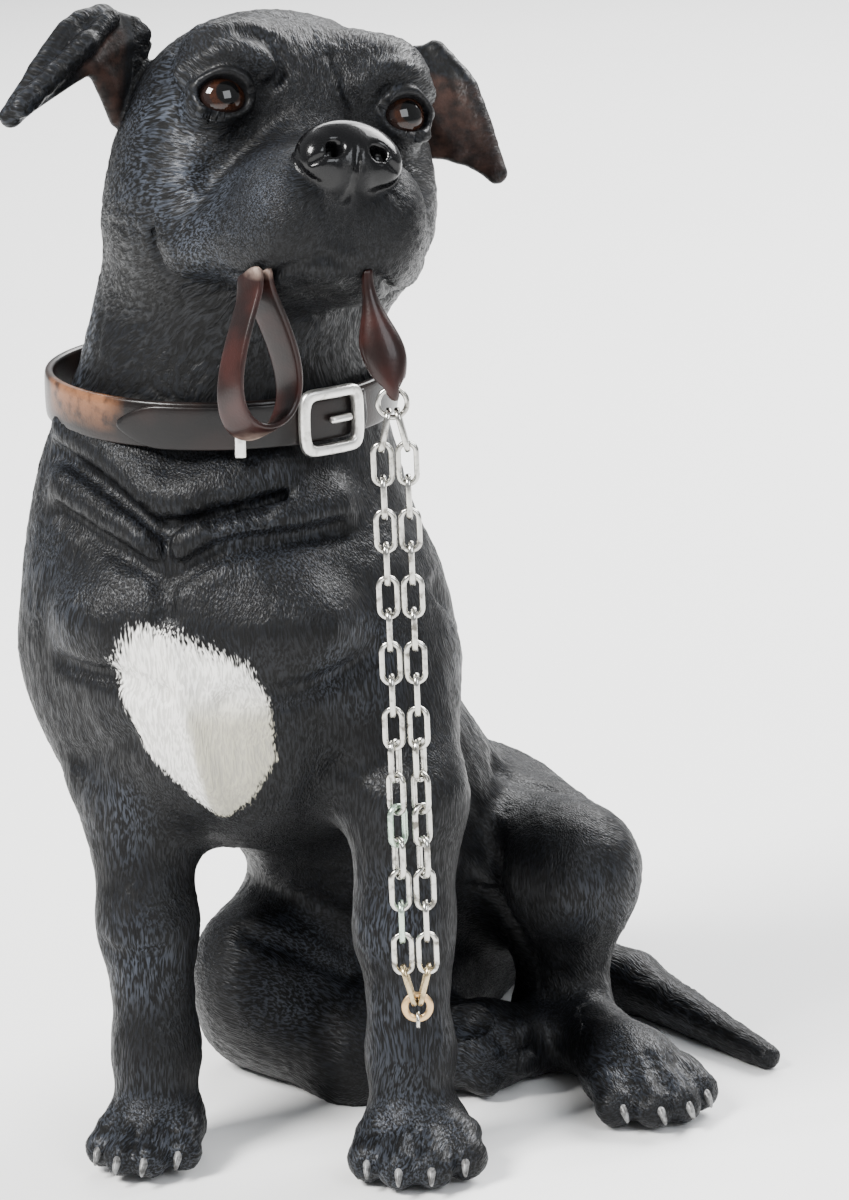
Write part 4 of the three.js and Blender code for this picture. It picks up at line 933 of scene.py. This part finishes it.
def patch_mark(points):
    """1 inside the white patch, with a softer edge at its top."""
    inside = np.full(len(points), 1e3)
    for (ax, az), (bx, bz) in zip(PATCH, PATCH[1:] + PATCH[:1]):
        length = math.hypot(bx - ax, bz - az)
        across = ((az - bz) * (points[:, 0] - ax) + (bx - ax) * (points[:, 2] - az)) / length
        inside = np.minimum(inside, -across)
    soft = 1.6 + 3.0 * smooth_step(points[:, 2], 108, 122)
    return np.clip(0.5 + inside / (2 * soft), 0, 1) * (points[:, 1] < -45)


def drybrush_and_highlight_mark(points, normals, head, on_head):
    """How much blue-grey a ridge has caught: drybrushed paint with a painted highlight, more where faces
    turn up.
    """
    # Faces turned up catch more of the grey: a painted highlight from the light above
    drybrush_and_highlight_amount = 0.1 + 0.12 * smooth_step(normals[:, 2], 0.2, 0.8)
    if on_head:
        drybrush_and_highlight_amount = np.maximum(drybrush_and_highlight_amount, dabbed(head, HEAD_DRYBRUSH_AND_HIGHLIGHT)) * (1 - 0.7 * dabbed(head, HEAD_DARK))
        drybrush_and_highlight_amount = np.maximum(drybrush_and_highlight_amount, dabbed(points, NECK_DRYBRUSH_AND_HIGHLIGHT))
    else:
        drybrush_and_highlight_amount = np.maximum(drybrush_and_highlight_amount, dabbed(points, BODY_DRYBRUSH_AND_HIGHLIGHT))
    return np.clip(drybrush_and_highlight_amount, 0, 1)


def coat_marks(mesh, on_head):
    """Paints the casting's points: lay of the fur, drybrushed ridges with a painted highlight, white patch
    with its painted shade, bare and glossy places.
    """
    points, normals = points_of(mesh), normals_of(mesh)
    head = (points - HEAD.origin) @ HEAD.axes
    main, second, share = hair_lay(points, on_head)
    nose, on_ear = nose_mark(head), ear_mark(head) * on_head
    bare = np.clip(on_ear * 0.9 + lid_mark(head) * on_head, 0, 1)
    # The strokes lift and sink the skin itself
    relief = lattice_noise(main * 0.6, 5) * (1 - share) + lattice_noise(second * 0.6, 5) * share
    clumps = (lattice_noise(main * (0.22, 0.22, 0.3), 7) - 0.5) * 0.35
    lift = ((relief - 0.5) * 0.42 + clumps) * (1 - nose) * (1 - bare)
    set_points(mesh, points + normals * lift[:, None])
    mark_place(mesh, "lay_main", main)
    mark_place(mesh, "lay_second", second)
    mark(mesh, "second", share)
    mark(mesh, "nose", nose)
    mark(mesh, "bare", bare)
    mark(mesh, "inner_ear", inner_ear_mark(head, normals @ HEAD.axes, on_ear))
    mark(mesh, "white", patch_mark(points))
    # Painted shade on the white patch: its side toward the dog's left of the ridge, below the pectoral
    # crease
    mark(mesh, "shade", smooth_step(points[:, 0] - (-16.5 + (106 - points[:, 2]) * 0.12), -0.8, 0.8)
         * smooth_step(-points[:, 2], -114, -104) * 0.85 + 0.05)
    mark(mesh, "drybrush_and_highlight_amount", drybrush_and_highlight_mark(points, normals, head, on_head))


def casting():
    """Two closed castings that meet inside the collar: the head, and the rest of the dog."""
    tilt = Euler([math.radians(v) for v in COLLAR_TILT], "ZYX").to_matrix().to_4x4()
    plane = Matrix.Translation(COLLAR_MIDDLE) @ tilt
    material = coat_finish()
    parts = [("dog_head", [HEAD, CHEST], HEAD_GRAIN, 1),
             ("dog_body", [CHEST, HIND, *LEGS, *PAWS, FOOT, TAIL], BODY_GRAIN, -1)]
    for name, lumps, grain, side in parts:
        cuts = [(plane.translation, plane.to_3x3() @ Vector((0, 0, side)))]
        if side < 0:
            cuts.append((Vector((0, 0, 0)), Vector((0, 0, 1))))
        skin = CLAY.skin(lumps, grain) if side < 0 else head_skin(lumps, grain, plane)
        coat_marks(skin, side > 0)
        mesh = bmesh.new()
        mesh.from_mesh(skin)
        for middle, keep in cuts:
            bmesh.ops.bisect_plane(mesh, geom=[*mesh.verts, *mesh.edges, *mesh.faces], plane_co=middle,
                                   plane_no=-keep, clear_outer=True)
            bmesh.ops.holes_fill(mesh, edges=[e for e in mesh.edges if e.is_boundary])
        mesh.to_mesh(skin)
        mesh.free()
        set_points(skin, (points_of(skin) + SHIFT) / 1000)
        piece(name, skin, material, "figure", "coat", "dog_casting")


def head_skin(lumps, grain, plane):
    """The head's skin, with the chest below the collar cut away before the fine grain."""
    skin = CLAY.skin(lumps, grain * 2.2)
    mesh = bmesh.new()
    mesh.from_mesh(skin)
    low = plane @ Vector((0, 0, -6))
    bmesh.ops.bisect_plane(mesh, geom=[*mesh.verts, *mesh.edges, *mesh.faces], plane_co=low,
                           plane_no=-(plane.to_3x3() @ Vector((0, 0, 1))), clear_outer=True)
    bmesh.ops.holes_fill(mesh, edges=[e for e in mesh.edges if e.is_boundary])
    mesh.to_mesh(skin)
    mesh.free()
    for step in (grain * 1.4, grain):
        skin = evened(skin, step)
        far = (points_of(skin) - np.array(low)) @ np.array(plane.to_3x3() @ Vector((0, 0, 1))) > 2
        CLAY.press(skin, far)
    return skin


# Eyes and claws
def eyes():
    material = eye_finish()
    for side, node in ((-1, "eye_right"), (1, "eye_left")):
        middle = HEAD.point(*eye_place(side))
        look = Vector(HEAD.axes @ np.array((side * 0.12 + 0.12, -1, 0.06))).normalized()
        mesh = bmesh.new()
        turn = look.to_track_quat("Z", "Y").to_matrix().to_4x4()
        place = Matrix.Translation((Vector(middle) + Vector(SHIFT)) / 1000) @ turn
        bmesh.ops.create_uvsphere(mesh, u_segments=48, v_segments=32, radius=EYE_RADIUS / 1000, matrix=place)
        made = bpy.data.meshes.new(node)
        mesh.to_mesh(made)
        mesh.free()
        ball = (points_of(made) * 1000 - SHIFT - middle) @ np.array(turn.to_3x3())
        angle = np.arctan2(np.hypot(ball[:, 0], ball[:, 1]), ball[:, 2])
        mark(made, "from_pupil", angle * EYE_RADIUS)
        piece(node + "_glaze", made, material, "figure", "eye", node)


# A claw from its root to its tip: forward, up and size
CLAW_PATH = ((2.5, 1.0, 1.5), (0.4, 0.9, 1.55), (-1.5, 0.1, 1.35), (-3, -1.2, 0.95), (-3.9, -2.6, 0.45))


def claws():
    material = claw_finish()
    for paw_name, place, (_, _, width, length, height) in zip(("right", "left", "hind"), PAWS, PAW_PLACES):
        for toe, (spread, reach) in enumerate(toes_of(width, length)):
            stations = []
            for i, (y, z, size) in enumerate(CLAW_PATH):
                before, after = CLAW_PATH[max(i - 1, 0)], CLAW_PATH[min(i + 1, len(CLAW_PATH) - 1)]
                along = Vector((0, after[0] - before[0], after[1] - before[1])).normalized()
                middle = Vector((spread * 1.02, -reach + 1.4 + y * 0.85, height * 0.34 + z * 0.9))
                up = along.cross(Vector((1, 0, 0)))
                stations.append(place.place @ station(middle, (1, 0, 0), up, size))
            mesh = bmesh.new()
            sweep(mesh, stations, rounded(1.45, 1.7, 2.0, 12), False)
            bmesh.ops.translate(mesh, vec=Vector(SHIFT), verts=list(mesh.verts))
            bmesh.ops.scale(mesh, vec=(0.001, 0.001, 0.001), verts=list(mesh.verts))
            softened(piece(f"claw_{paw_name}_{toe + 1}", mesh, material, "figure", "coat"), 1)


# Collar, handle loop and tab
def leatherwork():
    strap = leather_finish("collar_strap", (0.0035, 0.0024, 0.0022), (0.012, 0.006, 0.0045),
                           (0.17, 0.075, 0.036), 0.24)
    tongue = leather_finish("tongue_strap", (0.002, 0.0015, 0.0015), (0.007, 0.0035, 0.003),
                            (0.02, 0.01, 0.008), 0.3)
    lead = leather_finish("lead_strap", (0.0065, 0.0022, 0.0018), (0.022, 0.0055, 0.0042),
                          (0.4, 0.3, 0.25), 0.3)
    silver = metal_finish("silver", (0.74, 0.73, 0.7), (0.3, 0.285, 0.26), 0.3, 0.6)
    for node, material, slot, levels in (
            ("collar_band", strap, "collar_strap", 2), ("collar_tongue", tongue, "collar_strap", 2),
            ("lead_loop", lead, "lead_strap", 2), ("lead_tab", lead, "lead_strap", 2),
            ("collar_keeper", silver, "silver", 1), ("buckle_frame", silver, "silver", 2),
            ("buckle_prong", silver, "silver", 2)):
        thing = piece(node + "_made", merged(node), material, "figure", slot, node)
        p = points_of(thing.data) * 1000 - SHIFT
        wear_and_rim_highlight = np.zeros(len(p))
        if node == "collar_band":
            wear_and_rim_highlight = smooth_step(-Ball((-44, -40, 173), (16, 11, 5.5)).distance(p), -2.5, 2)
        # The lead loop's rims: worn lighter, with a painted highlight along the edges
        if node == "lead_loop":
            across = p @ np.array((-0.77, 0.48, -0.42))
            across = np.abs(across - (across.min() + across.max()) / 2)
            wear_and_rim_highlight = smooth_step(across, across.max() - 0.9, across.max() - 0.3) * 0.7
        mark(thing.data, "wear_and_rim_highlight", wear_and_rim_highlight)
        softened(thing, levels)


# Chain
def wire_loop(mesh, place, length, width, section, arc_steps=10):
    """A wire loop with straight sides and round ends, its length along Z and its width along X."""
    thick = max(abs(a) for a, b in section) * 2
    radius = (width - thick) / 2
    straight = (length - width) / 2
    stations = []
    for end in (1, -1):
        for i in range(arc_steps + 1):
            t = math.pi * i / arc_steps
            out = Vector((math.cos(t), 0, math.sin(t))) * end
            stations.append(place @ station(Vector((0, 0, end * straight)) + out * radius, out, (0, 1, 0)))
    sweep(mesh, stations, section, True)


def chain():
    nickel = metal_finish("nickel", (0.56, 0.55, 0.51), (0.1, 0.09, 0.075), 0.12, 0.9)
    green = metal_finish("nickel_green", (0.5, 0.62, 0.52), (0.16, 0.26, 0.2), 0.22, 0.7)
    bronze = metal_finish("bronze", (0.5, 0.4, 0.24), (0.14, 0.1, 0.05), 0.2, 0.7)
    brass = metal_finish("brass", (0.62, 0.42, 0.22), (0.25, 0.15, 0.08), 0.3)
    pitch = LINK_LENGTH - 2 * WIRE - 0.3
    for level in range(LEVELS):
        twist = min(1, max(0, (level - TWIST_START) / TWIST_LEVELS)) * 90
        turn = (90 if level % 2 else 0) + twist
        top = RING_SPACING if level == 0 else STRAND_SPACING
        bottom = WASHER_SPACING if level == LEVELS - 1 else STRAND_SPACING
        for strand, side in (("left", -1), ("right", 1)):
            node = f"link_{strand}_{level + 1:02d}"
            low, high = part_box(node)
            middle = (Vector(low) + Vector(high)) / 2
            lean = math.atan2(side * (bottom - top) / 2, pitch)
            place = (Matrix.Translation(middle) @ Matrix.Rotation(math.radians(CHAIN_TURN), 4, "Z")
                     @ Matrix.Rotation(-lean, 4, "Y") @ Matrix.Rotation(math.radians(90 - turn), 4, "Z")
                     @ Matrix.Scale(0.001, 4))
            mesh = bmesh.new()
            wire_loop(mesh, place, LINK_LENGTH, LINK_WIDTH, rounded(WIRE, WIRE * 1.05, 2.6))
            tinted = green if strand == "left" and level in GREEN_LEVELS else nickel
            finish = bronze if level == BRONZE_LEVEL else tinted
            piece(f"chain_{strand}_{level + 1:02d}", mesh, finish, f"level_{level + 1:02d}", "nickel", node)
    for name, node, body, material, slot in (("ring_made", "jump_ring", "ring", nickel, "nickel"),
                                             ("washer_made", "washer", "gather_washer", brass, "brass"),
                                             ("end_link_made", "end_link", "last_link", nickel, "nickel")):
        softened(piece(name, merged(node), material, body, slot, node), 2)


def studio():
    floor = bmesh.new()
    bmesh.ops.create_grid(floor, x_segments=1, y_segments=1, size=20)
    made = bpy.data.meshes.new("floor")
    floor.to_mesh(made)
    floor.free()
    ground = bpy.data.objects.new("floor", made)
    made.materials.append(floor_finish())
    bpy.context.collection.objects.link(ground)
    aim = (0, 0, 0.13)
    lamp("key", (-0.7, -0.85, 1.15), aim, 0.5, 62, (1, 0.99, 0.97))
    lamp("fill", (1.0, -0.9, 0.9), aim, 0.8, 16, (0.93, 0.96, 1))
    lamp("rim", (0.6, 0.9, 1.1), aim, 0.8, 30)
    lamp("ground", (0.2, 2.3, 1.7), (0.2, 2.5, 0), 2.4, 150)
    world = bpy.data.worlds.new("studio")
    world.use_nodes = True
    world.node_tree.nodes["Background"].inputs["Color"].default_value = (0.95, 0.97, 1, 1)
    world.node_tree.nodes["Background"].inputs["Strength"].default_value = 0.5
    bpy.context.scene.world = world


camera()
studio()
casting()
eyes()
claws()
leatherwork()
chain()
